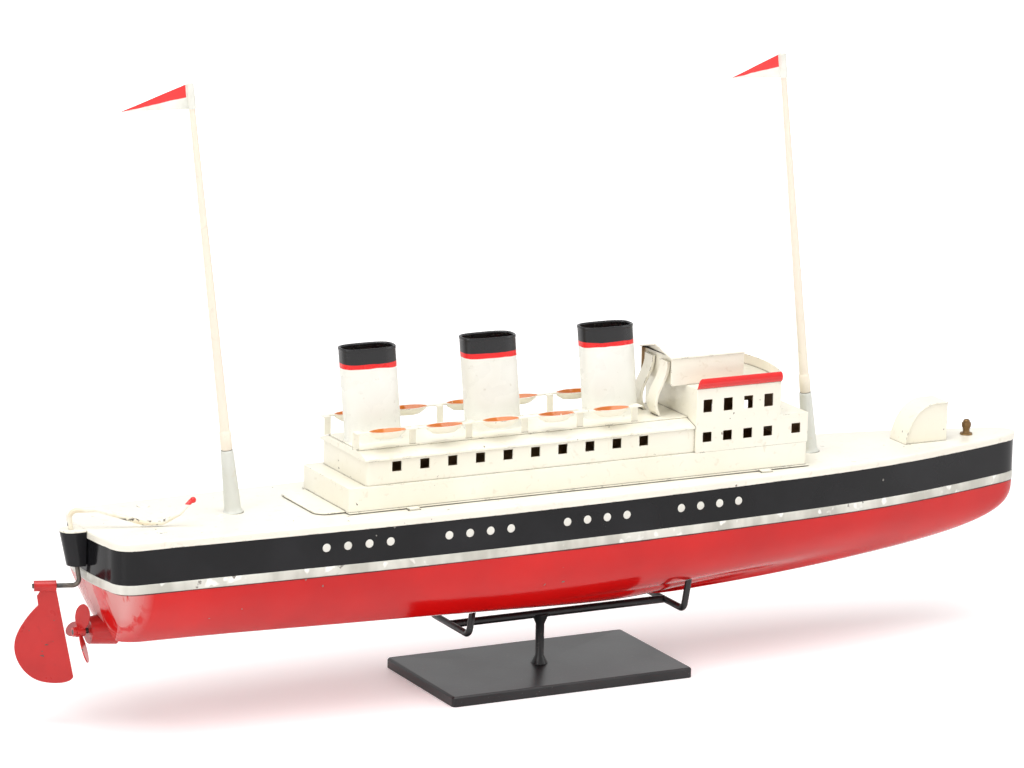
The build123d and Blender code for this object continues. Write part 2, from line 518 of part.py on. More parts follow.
def dodger(side):
    """Red screen along one side of the bridge deck, bellied outwards and rounded off aft."""
    y, top = side * HOUSE_HALF, BRIDGE_TOP + BULWARK

    def skin(inset):
        foot, head = at(0, y - side * inset, BRIDGE_TOP), at(0, y - side * inset, top)
        belly = at(0, y + side * (DODGER_BULGE - inset), BRIDGE_TOP + BULWARK / 2)
        inside = Polyline(head, at(0, y - side * 3, top), at(0, y - side * 3, BRIDGE_TOP), foot)
        face = face_of([ThreePointArc(foot, belly, head), inside])
        length = BRIDGE_FORE - BRIDGE_AFT
        return Pos(BRIDGE_AFT, 0, 0) * extrude(face, length, dir=(1, 0, 0))
    sheet = skin(0) - skin(TIN)
    corner = DODGER_AFT_ROUND
    cut = block(BRIDGE_AFT - 1, BRIDGE_AFT + corner, y - 4, y + 4, top - corner, top + 1)
    centre = at(BRIDGE_AFT + corner, 0, top - corner)
    return sheet - (cut - rod((centre[0], y - 5, centre[2]), (centre[0], y + 5, centre[2]), corner))


def chart_house():
    """Chart house walls with a recessed plate aft, and its gabled roof."""
    low, high = BRIDGE_TOP, BRIDGE_TOP + CHART_WALL
    walls = block(CHART_AFT, CHART_FORE, -CHART_HALF, CHART_HALF, low, high)
    walls -= block(CHART_AFT - 1, CHART_FORE - TIN, TIN - CHART_HALF, CHART_HALF - TIN, low - 1, high + 1)
    recess = CHART_AFT + CHART_RECESS
    plate = block(recess, recess + TIN, TIN - CHART_HALF, CHART_HALF - TIN, low, high)
    eave, peak = CHART_HALF + CHART_EAVE, high + CHART_RIDGE
    drop = CHART_EAVE * CHART_RIDGE / CHART_HALF

    def gable(lift):
        points = [(-eave, high - drop + lift), (0, peak + lift), (eave, high - drop + lift)]
        return [(0, y, DECK_HEIGHT + z) for y, z in points]
    outline = make_face(Polyline(*gable(0), *reversed(gable(TIN * 1.1)), gable(0)[0]))
    start, length = STERN_X + CHART_AFT - 0.8, CHART_FORE - CHART_AFT + 1.6
    roof = Pos(start, 0, 0) * extrude(outline, length, dir=(1, 0, 0))
    front = make_face(Polyline(*[(0, y, DECK_HEIGHT + z) for y, z in (
        (-CHART_HALF, high), (0, peak), (CHART_HALF, high), (-CHART_HALF, high))]))
    for s in (CHART_FORE - TIN, recess):
        roof += Pos(STERN_X + s, 0, 0) * extrude(front, TIN, dir=(1, 0, 0))
    return walls + plate, roof


def stair(side):
    """S-curved strip with two low rails, from the chart house down to the boat deck."""
    foot, head = BOAT_DECK, BRIDGE_TOP + 0.84 * CHART_WALL

    def strip(thick, width, y):
        line = [(CHART_AFT + STAIR_HEAD, head), (CHART_AFT - 1.2, head - 6.5), (CHART_AFT - 6.0, foot + 9.5),
                (CHART_AFT - 4.2, foot)]
        back = [(s + thick * 1.2, z) for s, z in line]
        near, far = Spline(*on_side(line)), Spline(*on_side(back))
        return side_sheet([near, far, Line(near @ 0, far @ 0), Line(near @ 1, far @ 1)], y - width / 2, y + width / 2)
    y = side * STAIR_SIDE
    body = strip(TIN, STAIR_WIDTH, y)
    for edge in (-1, 1):
        body += strip(STAIR_RAIL, TIN, y + edge * (STAIR_WIDTH - TIN) / 2)
    return body


# ---------------------------------------------------------------- propeller and clockwork
def gear(teeth, thick, bore):
    """Spur gear with straight-flanked teeth, one tooth on +X, standing on its underside."""
    pitch, root, tip = MODULE * teeth / 2, MODULE * teeth / 2 - 1.2 * MODULE, MODULE * teeth / 2 + 0.85 * MODULE
    points = []
    for i in range(teeth):
        centre = 2 * pi * i / teeth
        for radius, half in ((root, 1.02), (pitch, 0.66), (tip, 0.30), (tip, -0.30), (pitch, -0.66), (root, -1.02)):
            angle = centre - half * MODULE / pitch
            points.append((radius * cos(angle), radius * sin(angle)))
    disc = extrude(make_face(Polyline(*points, points[0])), thick)
    return disc - Cylinder(bore, 3 * thick)


def crown_wheel():
    """Disc with square teeth on its lower face, a gap facing aft."""
    z_tip = -SHAFT_DEPTH + 3.3
    z_disc = z_tip + CROWN_TOOTH
    wheel = Pos(*at(IDLER_S, 0, z_disc)) * extrude(Circle(CROWN_OUTER) - Circle(ARBOR), CROWN_DISC)
    middle = CROWN_OUTER - CROWN_RING / 2
    for i in range(CROWN_TEETH):
        turn = 360 / CROWN_TEETH * (i + 0.5)
        tooth = Pos(middle, 0, z_tip + CROWN_TOOTH / 2) * Box(CROWN_RING, CROWN_TOOTH_WIDTH, CROWN_TOOTH)
        wheel += Pos(*at(IDLER_S)) * Rot(0, 0, turn) * tooth
    return wheel


def lantern_pinion():
    """Two discs joined by pins, under the crown wheel's aft edge."""
    middle = IDLER_S - CROWN_OUTER + CROWN_RING / 2
    ring = LANTERN_PINS * (CROWN_OUTER - CROWN_RING / 2) / CROWN_TEETH
    faces = [middle - LANTERN_LENGTH / 2 - 1, middle - LANTERN_LENGTH / 2,
             middle + LANTERN_LENGTH / 2, middle + LANTERN_LENGTH / 2 + 1]
    body = rod(at(faces[0], 0, -SHAFT_DEPTH), at(faces[1], 0, -SHAFT_DEPTH), ring + 2 * LANTERN_PIN)
    body += rod(at(faces[2], 0, -SHAFT_DEPTH), at(faces[3], 0, -SHAFT_DEPTH), ring + 2 * LANTERN_PIN)
    for i in range(LANTERN_PINS):
        turn = 2 * pi * i / LANTERN_PINS
        y, z = ring * sin(turn), ring * cos(turn) - SHAFT_DEPTH
        body += rod(at(faces[0] + 0.2, y, z), at(faces[3] - 0.2, y, z), LANTERN_PIN)
    return body - rod(at(faces[0] - 1, 0, -SHAFT_DEPTH), at(faces[3] + 1, 0, -SHAFT_DEPTH), SHAFT)


def shaft():
    end = IDLER_S - CROWN_OUTER + CROWN_RING / 2 + LANTERN_LENGTH / 2 + 1
    return rod(at(PROP_S - 1.6, 0, -SHAFT_DEPTH), at(end, 0, -SHAFT_DEPTH), SHAFT)


def propeller():
    """Stamped three-bladed screw on a hub, and its nut."""
    hub = rod(at(PROP_S, 0, -SHAFT_DEPTH), at(PROP_S + PROP_HUB_LENGTH, 0, -SHAFT_DEPTH), PROP_HUB)
    blade_length = PROP_RADIUS - 0.6 * PROP_HUB
    outline = Ellipse(0.5 * blade_length, 0.27 * blade_length)
    blade = Pos(0.6 * PROP_HUB + blade_length / 2, 0, -TIN / 2) * extrude(outline, TIN)
    centre = at(PROP_S + PROP_HUB_LENGTH / 2, 0, -SHAFT_DEPTH)
    screw = hub
    for i in range(PROP_BLADES):
        turn = 233 + 360 * i / PROP_BLADES
        place = Pos(*centre) * Rot(turn, 0, 0) * Rot(0, 0, 90) * Rot(90 + PROP_PITCH, 0, 0)
        screw += place * blade
    screw -= rod(at(-20, 0, -SHAFT_DEPTH), at(20, 0, -SHAFT_DEPTH), SHAFT)
    nut = Plane(origin=at(PROP_S, 0, -SHAFT_DEPTH), z_dir=(-1, 0, 0)) * RegularPolygon(2.3, 6)
    nut = extrude(nut, 1.6) - rod(at(-20, 0, -SHAFT_DEPTH), at(20, 0, -SHAFT_DEPTH), SHAFT)
    return screw, nut


def clockwork():
    """Barrel, crown-wheel arbor and frame of the spring motor, by node name."""
    top_z, low_z = PLATE_TOP, PLATE_BOTTOM
    wheel_z = BARREL_LOW - WHEEL_THICK
    works = {}
    drum = Pos(*at(MOTOR_S, 0, BARREL_LOW)) * Cylinder(BARREL, BARREL_HEIGHT, align=STAND)
    works["spring_barrel"] = drum - Pos(*at(MOTOR_S, 0, BARREL_LOW + 1)) * Cylinder(
        BARREL - TIN, BARREL_HEIGHT, align=STAND) - Pos(*at(MOTOR_S, 0, BARREL_LOW)) * Cylinder(BARREL_ARBOR, 90)
    works["great_wheel"] = Pos(*at(MOTOR_S, 0, wheel_z)) * gear(WHEEL_TEETH, WHEEL_THICK, BARREL_ARBOR)
    square = block(MOTOR_S - WINDING_SQUARE / 2, MOTOR_S + WINDING_SQUARE / 2, -WINDING_SQUARE / 2,
                   WINDING_SQUARE / 2, top_z + 2, -2.0)
    works["winding_arbor"] = rod(at(MOTOR_S, 0, low_z - PLATE_THICK), at(MOTOR_S, 0, top_z + 2),
                                 BARREL_ARBOR) + square
    works["mainspring"] = mainspring()
    works["crown_wheel"] = crown_wheel()
    idler_low = wheel_z + WHEEL_THICK / 2 - PINION_LENGTH / 2
    pinion = Rot(0, 0, 180 / PINION_TEETH) * gear(PINION_TEETH, PINION_LENGTH, ARBOR)
    works["idler_pinion"] = Pos(*at(IDLER_S, 0, idler_low)) * pinion
    works["idler_arbor"] = rod(at(IDLER_S, 0, low_z - PLATE_THICK), at(IDLER_S, 0, top_z + PLATE_THICK), ARBOR)
    holes = [rod(at(s, 0, -80), at(s, 0, 5), radius + RUN)
             for s, radius in ((MOTOR_S, BARREL_ARBOR), (IDLER_S, ARBOR))]
    for name, z in (("motor_top_plate", top_z), ("motor_bottom_plate", low_z - PLATE_THICK)):
        plate = block(PLATE_AFT, PLATE_FORE, -PLATE_HALF, PLATE_HALF, z, z + PLATE_THICK)
        works[name] = plate - holes[0] - holes[1]
    works["motor_pillars"] = [rod(at(s, y, low_z), at(s, y, top_z), PILLAR) for s in (
        PLATE_AFT + 4, PLATE_FORE - 4) for y in (4 - PLATE_HALF, PLATE_HALF - 4)]
    bearing = block(PLATE_AFT + 1, PLATE_AFT + 4, -4, 4, low_z, 4 - SHAFT_DEPTH)
    inside = hull_solid(2 * TIN)
    feet = [block(s - FOOT / 2, s + FOOT / 2, -2 * FOOT, 2 * FOOT, -KEEL_DEPTH - 1, low_z - PLATE_THICK) & inside
            for s in (PLATE_AFT + 8, PLATE_FORE - 8)]
    works["motor_brackets"] = [bearing - shaft_bore(), *feet]
    return works


def mainspring():
    """Coiled strip between the arbor and the drum wall."""
    start, end, steps = BARREL_ARBOR + 0.1, BARREL - TIN - SPRING_TIN - 0.1, 20 * SPRING_TURNS
    rims = []
    for extra in (0, SPRING_TIN):
        rims.append([((start + extra + (end - start) * i / steps) * cos(2 * pi * SPRING_TURNS * i / steps),
                      (start + extra + (end - start) * i / steps) * sin(2 * pi * SPRING_TURNS * i / steps))
                     for i in range(steps + 1)])
    outline = rims[0] + rims[1][::-1]
    return Pos(*at(MOTOR_S, 0, BARREL_LOW + 1)) * extrude(make_face(Polyline(*outline, outline[0])), SPRING_HEIGHT)


# ---------------------------------------------------------------- stand
def stand():
    """Base plate, screwed post, spine bar and the two cradle wires."""
    pieces = {}
    spine_z = DECK_HEIGHT - KEEL_DEPTH - SPINE_DROP
    base = extrude(RectangleRounded(BASE_LENGTH, BASE_WIDTH, BASE_CORNER), BASE_THICK)
    screw_hole = Cylinder(SCREW, 40) + Cylinder(SCREW_HEAD + 0.2, 2 * SCREW_HEAD_HEIGHT)
    pieces["base_plate"] = chamfer(base.edges().filter_by(GeomType.LINE).group_by(Axis.Z)[-1], 0.8) - screw_hole
    wires = {}
    for name, x in (("aft_cradle", CRADLE_AFT), ("fore_cradle", CRADLE_FORE)):
        half, lift = CRADLE_HALF, spine_z + 16
        route = [(x + CRADLE_SPREAD, -half - 1, lift), (x, -half, spine_z), (x, half, spine_z),
                 (x + CRADLE_SPREAD, half + 1, lift)]
        wires[name] = bent_wire(route, CRADLE_BEND, WIRE) - hull_solid(TIN - GAP)
    spine = rod((CRADLE_AFT, 0, spine_z), (CRADLE_FORE, 0, spine_z), SPINE)
    post = rod((0, 0, BASE_THICK), (0, 0, spine_z), POST)
    post += rod((0, 0, BASE_THICK), (0, 0, BASE_THICK + FLARE_LENGTH), POST_FLARE, POST)
    post += rod((0, 0, spine_z - FLARE_LENGTH - 1), (0, 0, spine_z), POST, POST_FLARE)
    thread = rod((0, 0, 1), (0, 0, BASE_THICK + 8), SCREW)
    pieces["stand_screw"] = thread + rod((0, 0, 0), (0, 0, SCREW_HEAD_HEIGHT), SCREW_HEAD)
    pieces["stand_post"] = post - spine - rod((0, 0, 0), (0, 0, BASE_THICK + 8), SCREW)
    pieces["stand_spine"] = spine - wires["aft_cradle"] - wires["fore_cradle"]
    return pieces | wires


# ---------------------------------------------------------------- the whole boat
def hull_parts():
    strake = deck_prism(TIN, HULL_JOIN, -TIN) - deck_prism(2 * TIN, HULL_JOIN, -TIN)
    shell = hull_solid(TIN) - hull_solid(2 * TIN)
    shell -= rod(at(TUBE_START, 0, -SHAFT_DEPTH), at(TUBE_START + 2 * TRANSOM_RAKE, 0, -SHAFT_DEPTH), SHAFT + 0.5)
    sheet, cheeks = foredeck_hood()
    bracket, cap = rudder_trunk()
    return {
        "lower_hull": shell, "upper_strake": strake,
        "waterline_seam": deck_prism(0, SEAM_LOW, SEAM_TOP) - deck_prism(TIN, SEAM_LOW, SEAM_TOP),
        "deck_lid": deck_lid(), "portholes_starboard": portholes(-1, strake),
        "portholes_port": portholes(1, strake), "stern_tube": stern_tube(), "rudder_trunk": bracket,
        "trunk_cap": cap, "aft_mast_socket": mast_socket("aft"), "fore_mast_socket": mast_socket("fore"),
        "foredeck_hood": sheet, "hood_cheeks": cheeks, "capstan": capstan()}


def superstructure_parts():
    walls, roof = chart_house()
    pieces = {"house_base": house_base(), "lower_house": lower_house(), "upper_house": upper_house(),
              "upper_roof": upper_roof(), "boat_deck": boat_deck(), "bridge_house": bridge_house(),
              "bridge_bulwark": bridge_bulwark(), "chart_house": walls, "chart_house_roof": roof}
    for number, name in enumerate(("aft", "middle", "fore")):
        pieces[f"funnel_{name}"] = funnel(number)
    for side, name in ((-1, "starboard"), (1, "port")):
        pieces[f"lifeboats_{name}"] = lifeboats(side)
        pieces[f"dodger_{name}"] = dodger(side)
        pieces[f"stair_{name}"] = stair(side)
    return pieces


def moving_parts():
    screw, nut = propeller()
    pieces = {"rudder_wire": turned(rudder_wire()), "rudder_blade": turned(rudder_blade()),
              "propeller": screw, "propeller_nut": nut, "propeller_shaft": shaft(),
              "lantern_pinion": lantern_pinion()}
    for place in MAST_PLACES:
        pieces[f"{place}_mast"] = mast(place)
        pieces[f"{place}_pennant"] = pennant(place)
    return pieces


def main():
    os.makedirs("parts", exist_ok=True)
    pieces = stand() | hull_parts() | clockwork() | superstructure_parts() | moving_parts()
    for name, shape in pieces.items():
        solids = shape if isinstance(shape, (list, ShapeList)) else [shape]
        export_step(Compound([solid for piece in solids for solid in piece.solids()]), f"parts/{name}.step")


main()
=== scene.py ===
"""Tinplate ocean liner: enamel, solder and brass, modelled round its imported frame."""

import json
from math import atan2, cos, pi, radians, sin

import bmesh
import bpy
import numpy as np
from bpy.props import FloatProperty, FloatVectorProperty, IntProperty, PointerProperty
from mathutils import Matrix, Vector


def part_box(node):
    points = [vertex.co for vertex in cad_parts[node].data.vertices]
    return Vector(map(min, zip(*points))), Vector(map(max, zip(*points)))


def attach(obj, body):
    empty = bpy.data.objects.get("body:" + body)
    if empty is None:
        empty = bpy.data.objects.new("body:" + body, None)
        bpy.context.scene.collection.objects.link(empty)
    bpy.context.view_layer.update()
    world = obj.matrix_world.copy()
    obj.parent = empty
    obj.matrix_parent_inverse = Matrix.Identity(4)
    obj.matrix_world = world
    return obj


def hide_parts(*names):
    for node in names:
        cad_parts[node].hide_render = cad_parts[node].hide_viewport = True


bl_info = {
    "name": "Tinplate Liner",
    "version": (1, 0, 0),
    "blender": (4, 5, 0),
    "location": "View3D > Sidebar > Tinplate Liner",
    "description": "Builds the looks of a tinplate clockwork ocean liner round its frame",
    "category": "Object",
}

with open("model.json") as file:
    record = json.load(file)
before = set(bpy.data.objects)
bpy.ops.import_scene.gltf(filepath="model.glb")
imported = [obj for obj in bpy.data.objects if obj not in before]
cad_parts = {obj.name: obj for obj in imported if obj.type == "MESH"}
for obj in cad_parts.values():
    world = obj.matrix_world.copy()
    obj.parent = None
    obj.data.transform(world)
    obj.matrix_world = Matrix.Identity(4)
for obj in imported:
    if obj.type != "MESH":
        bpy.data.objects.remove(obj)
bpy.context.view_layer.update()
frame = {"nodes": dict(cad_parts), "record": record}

MM = 0.001
TIN = 0.6 * MM                      # sheet of every shell


def span(node, axis):
    """Lowest and highest value of a CAD node along one axis."""
    low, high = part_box(node)
    return low[axis], high[axis]


# ---------------------------------------------------------------- measures taken from the frame
SEAM_LOW, SEAM_TOP = span("waterline_seam", 2)
STRAKE_TOP = span("upper_strake", 2)[1]
DECK = STRAKE_TOP + TIN
RIM_LOW = span("deck_lid", 2)[0]
KEEL = span("lower_hull", 2)[0]
HULL_JOIN = span("lower_hull", 2)[1]
STERN = -0.236                      # zero of the stations below


def at(s, y=0.0, z=0.0):
    """Stations in millimetres forward of the stern, to port and above the deck, as a point in metres."""
    return np.array([STERN + s * MM, y * MM, DECK + z * MM])


# ---------------------------------------------------------------- meshes
def mesh_object(name, points, faces, smooth=True):
    """An object at the origin from vertex and face arrays."""
    data = bpy.data.meshes.new(name)
    data.from_pydata(np.asarray(points, float).tolist(), [], [list(map(int, face)) for face in faces])
    data.update()
    data.polygons.foreach_set("use_smooth", np.full(len(data.polygons), smooth))
    piece = bpy.data.objects.new(name, data)
    bpy.context.scene.collection.objects.link(piece)
    return piece


def grid_faces(rows, columns, wrap_rows=False, wrap_columns=False):
    """Quads joining neighbours of a rows by columns grid."""
    r = np.arange(rows if wrap_rows else rows - 1)
    c = np.arange(columns if wrap_columns else columns - 1)
    i, j = np.meshgrid(r, c, indexing="ij")
    i1, j1 = (i + 1) % rows, (j + 1) % columns
    quads = np.stack([i * columns + j, i * columns + j1, i1 * columns + j1, i1 * columns + j], -1)
    return quads.reshape(-1, 4)


def surface(name, grid, wrap_rows=False, wrap_columns=False, caps=False):
    """A mesh over grid[row, column] points; caps closes the first and last row with flat faces."""
    rows, columns = grid.shape[:2]
    faces = list(grid_faces(rows, columns, wrap_rows, wrap_columns))
    if caps:
        faces.append(np.arange(columns)[::-1])
        faces.append((rows - 1) * columns + np.arange(columns))
    piece = mesh_object(name, grid.reshape(-1, 3), faces)
    if caps or wrap_rows:
        outward(piece)
    return piece


def edit(piece, work):
    """Runs bmesh work on a piece's mesh."""
    mesh = bmesh.new()
    mesh.from_mesh(piece.data)
    work(mesh)
    mesh.to_mesh(piece.data)
    mesh.free()
    piece.data.update()
    return piece


def outward(piece):
    """Merges doubles and turns every face outwards."""
    def work(mesh):
        bmesh.ops.remove_doubles(mesh, verts=mesh.verts, dist=1e-7)
        bmesh.ops.recalc_face_normals(mesh, faces=mesh.faces)
    return edit(piece, work)


def joined(name, pieces):
    """One object from several, keeping each one's materials."""
    points, faces, smooth, slots, materials, start = [], [], [], [], [], 0
    for piece in pieces:
        data = piece.data
        co = np.empty(3 * len(data.vertices))
        data.vertices.foreach_get("co", co)
        points.append(co.reshape(-1, 3))
        own = list(data.materials)
        for m in own:
            if m not in materials:
                materials.append(m)
        for polygon in data.polygons:
            faces.append([start + v for v in polygon.vertices])
            smooth.append(polygon.use_smooth)
            slots.append(materials.index(own[polygon.material_index]) if own else 0)
        start += len(data.vertices)
        bpy.data.objects.remove(piece)
        bpy.data.meshes.remove(data)
    whole = mesh_object(name, np.concatenate(points), faces)
    for m in materials:
        whole.data.materials.append(m)
    whole.data.polygons.foreach_set("use_smooth", smooth)
    whole.data.polygons.foreach_set("material_index", slots)
    return whole


def modified(piece, kind, **settings):
    """Adds a modifier with its settings and applies it."""
    modifier = piece.modifiers.new(kind.title(), kind)
    for key, value in settings.items():
        setattr(modifier, key, value)
    graph = bpy.context.evaluated_depsgraph_get()
    done = bpy.data.meshes.new_from_object(piece.evaluated_get(graph))
    piece.modifiers.clear()
    old, name = piece.data, piece.data.name
    piece.data = done
    bpy.data.meshes.remove(old)
    done.name = name
    return piece


def softened(piece, width):
    """Small rounded edges, as paint leaves on folded sheet."""
    return modified(piece, "BEVEL", width=width, segments=2, limit_method="ANGLE", angle_limit=radians(28),
                    harden_normals=True, use_clamp_overlap=True)


def thickened(piece, thickness=TIN, offset=-1.0):
    """A wall of the given thickness."""
    return modified(piece, "SOLIDIFY", thickness=thickness, offset=offset, use_even_offset=True, use_rim=True)


def turned(name, profile, origin, axis=(0, 0, 1), around=48):
    """A lathe shape: (distance along, radius) pairs spun about an axis through origin."""
    profile = np.asarray(profile, float)
    axis = np.array(axis, float) / np.linalg.norm(axis)
    path = np.asarray(origin, float) + profile[:, :1] * axis
    a = np.cross(axis, (0, 1, 0) if abs(axis[1]) < 0.9 else (1, 0, 0))
    a /= np.linalg.norm(a)
    b = np.cross(axis, a)
    turn = np.linspace(0, 2 * pi, around, endpoint=False)
    ring = a * np.cos(turn)[:, None] + b * np.sin(turn)[:, None]
    return surface(name, path[:, None] + profile[:, 1][:, None, None] * ring[None], wrap_columns=True, caps=True)


def plan_normals(plan):
    """Outward unit normals of an anticlockwise closed plan."""
    step = np.roll(plan, -1, 0) - np.roll(plan, 1, 0)
    step /= np.maximum(np.linalg.norm(step, axis=1)[:, None], 1e-12)
    return np.stack([step[:, 1], -step[:, 0]], -1)


# ---------------------------------------------------------------- shader maths
class Sock:
    """A shader socket, or a number, that adds Math nodes when it is used in an expression."""

    def __init__(self, tree, value):
        self.tree, self.value = tree, value

    def math(self, operation, *others):
        node = self.tree.nodes.new("ShaderNodeMath")
        node.operation = operation
        for index, item in enumerate((self, *others)):
            value = item.value if isinstance(item, Sock) else item
            if isinstance(value, (int, float)):
                node.inputs[index].default_value = value
            else:
                self.tree.links.new(value, node.inputs[index])
        return Sock(self.tree, node.outputs[0])

    def __add__(self, other):
        return self.math("ADD", other)

    def __sub__(self, other):
        return self.math("SUBTRACT", other)

    def __mul__(self, other):
        return self.math("MULTIPLY", other)

    def __rsub__(self, other):
        return Sock(self.tree, other).math("SUBTRACT", self)

    __radd__ = __add__
    __rmul__ = __mul__

    def above(self, edge, blur):
        """0 below an edge and 1 above it, over a soft width."""
        return ((self - edge) * (1 / blur) + 0.5).math("MAXIMUM", 0.0).math("MINIMUM", 1.0)

    def below(self, edge, blur):
        return 1 - self.above(edge, blur)


def plain_sight(tree, path):
    """1 where a backdrop is seen: by the camera, in a reflection or through glass."""
    return Sock(tree, path.outputs["Is Camera Ray"]).math(
        "MAXIMUM", Sock(tree, path.outputs["Is Glossy Ray"])).math(
        "MAXIMUM", Sock(tree, path.outputs["Is Transmission Ray"]))


class Paint:
    """One material and the few node recipes that its finish is written in."""

    def __init__(self, name, **finish):
        self.material = bpy.data.materials.new(name)
        self.material.use_nodes = True
        self.tree = self.material.node_tree
        self.shader = self.tree.nodes["Principled BSDF"]
        self.position = self.node("ShaderNodeTexCoord").outputs["Object"]
        for socket, value in finish.items():
            self.shader.inputs[socket.replace("_", " ").title().replace("Ior", "IOR")].default_value = value

    def node(self, kind, settings=None, **inputs):
        """Any node: its settings first, then the values or links of its sockets."""
        node = self.tree.nodes.new(kind)
        for key, value in (settings or {}).items():
            setattr(node, key, value)
        for key, value in inputs.items():
            socket = node.inputs[key.replace("_", " ")]
            value = value.value if isinstance(value, Sock) else value
            if isinstance(value, bpy.types.NodeSocket):
                self.tree.links.new(value, socket)
            else:
                socket.default_value = value
        return node

    def axis(self, letter):
        node = self.node("ShaderNodeSeparateXYZ", Vector=self.position)
        return Sock(self.tree, node.outputs[letter])

    def noise(self, scale, detail=3.0, stretch=(1, 1, 1), distortion=0.0):
        place = self.node("ShaderNodeMapping", Vector=self.position, Scale=stretch).outputs[0]
        node = self.node("ShaderNodeTexNoise", Vector=place, Scale=scale, Detail=detail, Distortion=distortion)
        return Sock(self.tree, node.outputs["Fac"])

    def mix(self, share, a, b):
        """Colour a where share is 0 and b where it is 1."""
        node = self.tree.nodes.new("ShaderNodeMix")
        node.data_type = "RGBA"
        self.tree.links.new(share.value, node.inputs[0])
        for index, colour in ((6, a), (7, b)):
            if isinstance(colour, bpy.types.NodeSocket):
                self.tree.links.new(colour, node.inputs[index])
            else:
                node.inputs[index].default_value = (*colour, 1.0)
        return node.outputs[2]

    def base(self, colour):
        if isinstance(colour, bpy.types.NodeSocket):
            self.tree.links.new(colour, self.shader.inputs["Base Color"])
        else:
            self.shader.inputs["Base Color"].default_value = (*colour, 1.0)

    def feed(self, socket, value):
        self.tree.links.new(value.value, self.shader.inputs[socket])

    def bump(self, height, distance, strength=1.0):
        node = self.node("ShaderNodeBump", Height=height, Distance=distance, Strength=strength)
        self.tree.links.new(node.outputs[0], self.shader.inputs["Normal"])


def enamel(name, colour, shade, chip=(0.10, 0.085, 0.07), roughness=0.24, coat=0.35, chips=0.70):
    """Brushed enamel: slow tone changes, faint brush ridges, small chips down to dark tin and dust in the dips."""
    paint = Paint(name, coat_weight=coat * 0.5, coat_roughness=0.08, specular_ior_level=0.3)
    tone = paint.noise(38, 4.0)
    body = paint.mix(tone.above(0.52, 0.5), colour, shade)
    dirt = paint.noise(210, 5.0, distortion=0.6)
    body = paint.mix(dirt.above(0.68, 0.14) * 0.35, body, tuple(c * 0.72 for c in shade))
    spots = paint.noise(430, 2.0) * 0.75 + paint.noise(60, 1.0) * 0.25
    flaw = spots.above(chips, 0.012)
    paint.base(paint.mix(flaw, body, chip))
    paint.feed("Roughness", paint.noise(120, 3.0) * 0.16 + (roughness - 0.08) + flaw * 0.35)
    ridges = paint.noise(520, 2.0, stretch=(0.10, 1, 1)) + paint.noise(46, 2.0) * 2.2
    paint.bump(ridges - flaw * 0.8, 0.00007, 0.55)
    return paint


def metal(name, colour, shade, roughness, grain=(1, 1, 1)):
    """Bare metal with tarnish in slow patches and fine drawn grain."""
    paint = Paint(name, metallic=1.0)
    tarnish = paint.noise(90, 5.0, distortion=0.4)
    paint.base(paint.mix(tarnish.above(0.5, 0.35), colour, shade))
    fine = paint.noise(900, 2.0, stretch=grain)
    paint.feed("Roughness", tarnish * 0.22 + fine * 0.12 + (roughness - 0.15))
    paint.bump(fine, 0.00004, 0.5)
    return paint


# ---------------------------------------------------------------- fitting a piece to its CAD node
BODY_OF = {node: body for body, nodes in frame["record"]["behaviour"]["bodies"].items() for node in nodes}
SLOT_OF = {entry["node"]: entry["material_slot"] for entry in frame["record"]["subparts"]}
STOOD = set()


def stand_for(piece, paints, node):
    """Gives a piece its paint, and puts it in the place of one CAD node."""
    index = np.empty(len(piece.data.polygons), int)
    piece.data.polygons.foreach_get("material_index", index)
    piece.data.materials.clear()
    for paint in paints if isinstance(paints, (list, tuple)) else [paints]:
        piece.data.materials.append(paint.material)
    piece.data.polygons.foreach_set("material_index", index)
    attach(piece, BODY_OF[node])
    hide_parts(node)
    STOOD.add(node)
    return piece


def repaint(node, paint):
    """A new material for a CAD node that keeps its own mesh."""
    data = frame["nodes"][node].data
    data.materials.clear()
    data.materials.append(paint.material)


def folded_copy(node, width, lining=False):
    """A CAD node's own shape with facets merged and sharp edges rounded; lining marks faces that look inwards."""
    piece = bpy.data.objects.new(node + "_sheet", frame["nodes"][node].data.copy())
    bpy.context.scene.collection.objects.link(piece)
    piece.data.materials.clear()

    def work(mesh):
        bmesh.ops.remove_doubles(mesh, verts=mesh.verts, dist=2e-6)
        bmesh.ops.dissolve_limit(mesh, angle_limit=radians(0.8), verts=mesh.verts, edges=mesh.edges)
    edit(piece, work)
    data = piece.data
    data.polygons.foreach_set("use_smooth", np.ones(len(data.polygons), bool))
    data.set_sharp_from_angle(angle=radians(34))
    if width:
        softened(piece, width)
    data = piece.data
    index = np.zeros(len(data.polygons), int)
    if lining:
        low, high = (np.array(corner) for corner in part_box(node))
        centre = np.array([poly.center for poly in data.polygons])
        normal = np.array([poly.normal for poly in data.polygons])
        middle = (low + high) / 2
        nearest = np.clip(centre[:, 0], low[0] + 12 * MM, high[0] - 12 * MM)
        inward = np.column_stack([nearest, np.full(len(centre), middle[1]), np.full(len(centre), low[2])]) - centre
        index = ((normal * inward).sum(1) > 0).astype(int)
    data.polygons.foreach_set("material_index", index)
    return piece


# ---------------------------------------------------------------- hull form
HULL_LENGTH, STERN_BULGE = 500.0, 2.5
STERN_HALF, WAIST_HALF, SHOULDER_HALF, FOREDECK_HALF, NOSE_HALF = 36.0, 40.5, 35.4, 26.9, 9.4
STERN_CORNER, NOSE_LENGTH = 11.0, 12.0
STERN_TUCK, WAIST_TUCK, SHOULDER_TUCK, FOREDECK_TUCK, KEEL_FLAT = 2.4, 1.45, 1.3, 1.9, 2.4
FULLNESS, TRANSOM_RAKE, KEEL_RISE, KEEL_STEP, FOREFOOT, BILGE_END = 2.12, 13.0, 214.0, 0.78, 196.0, 84.0


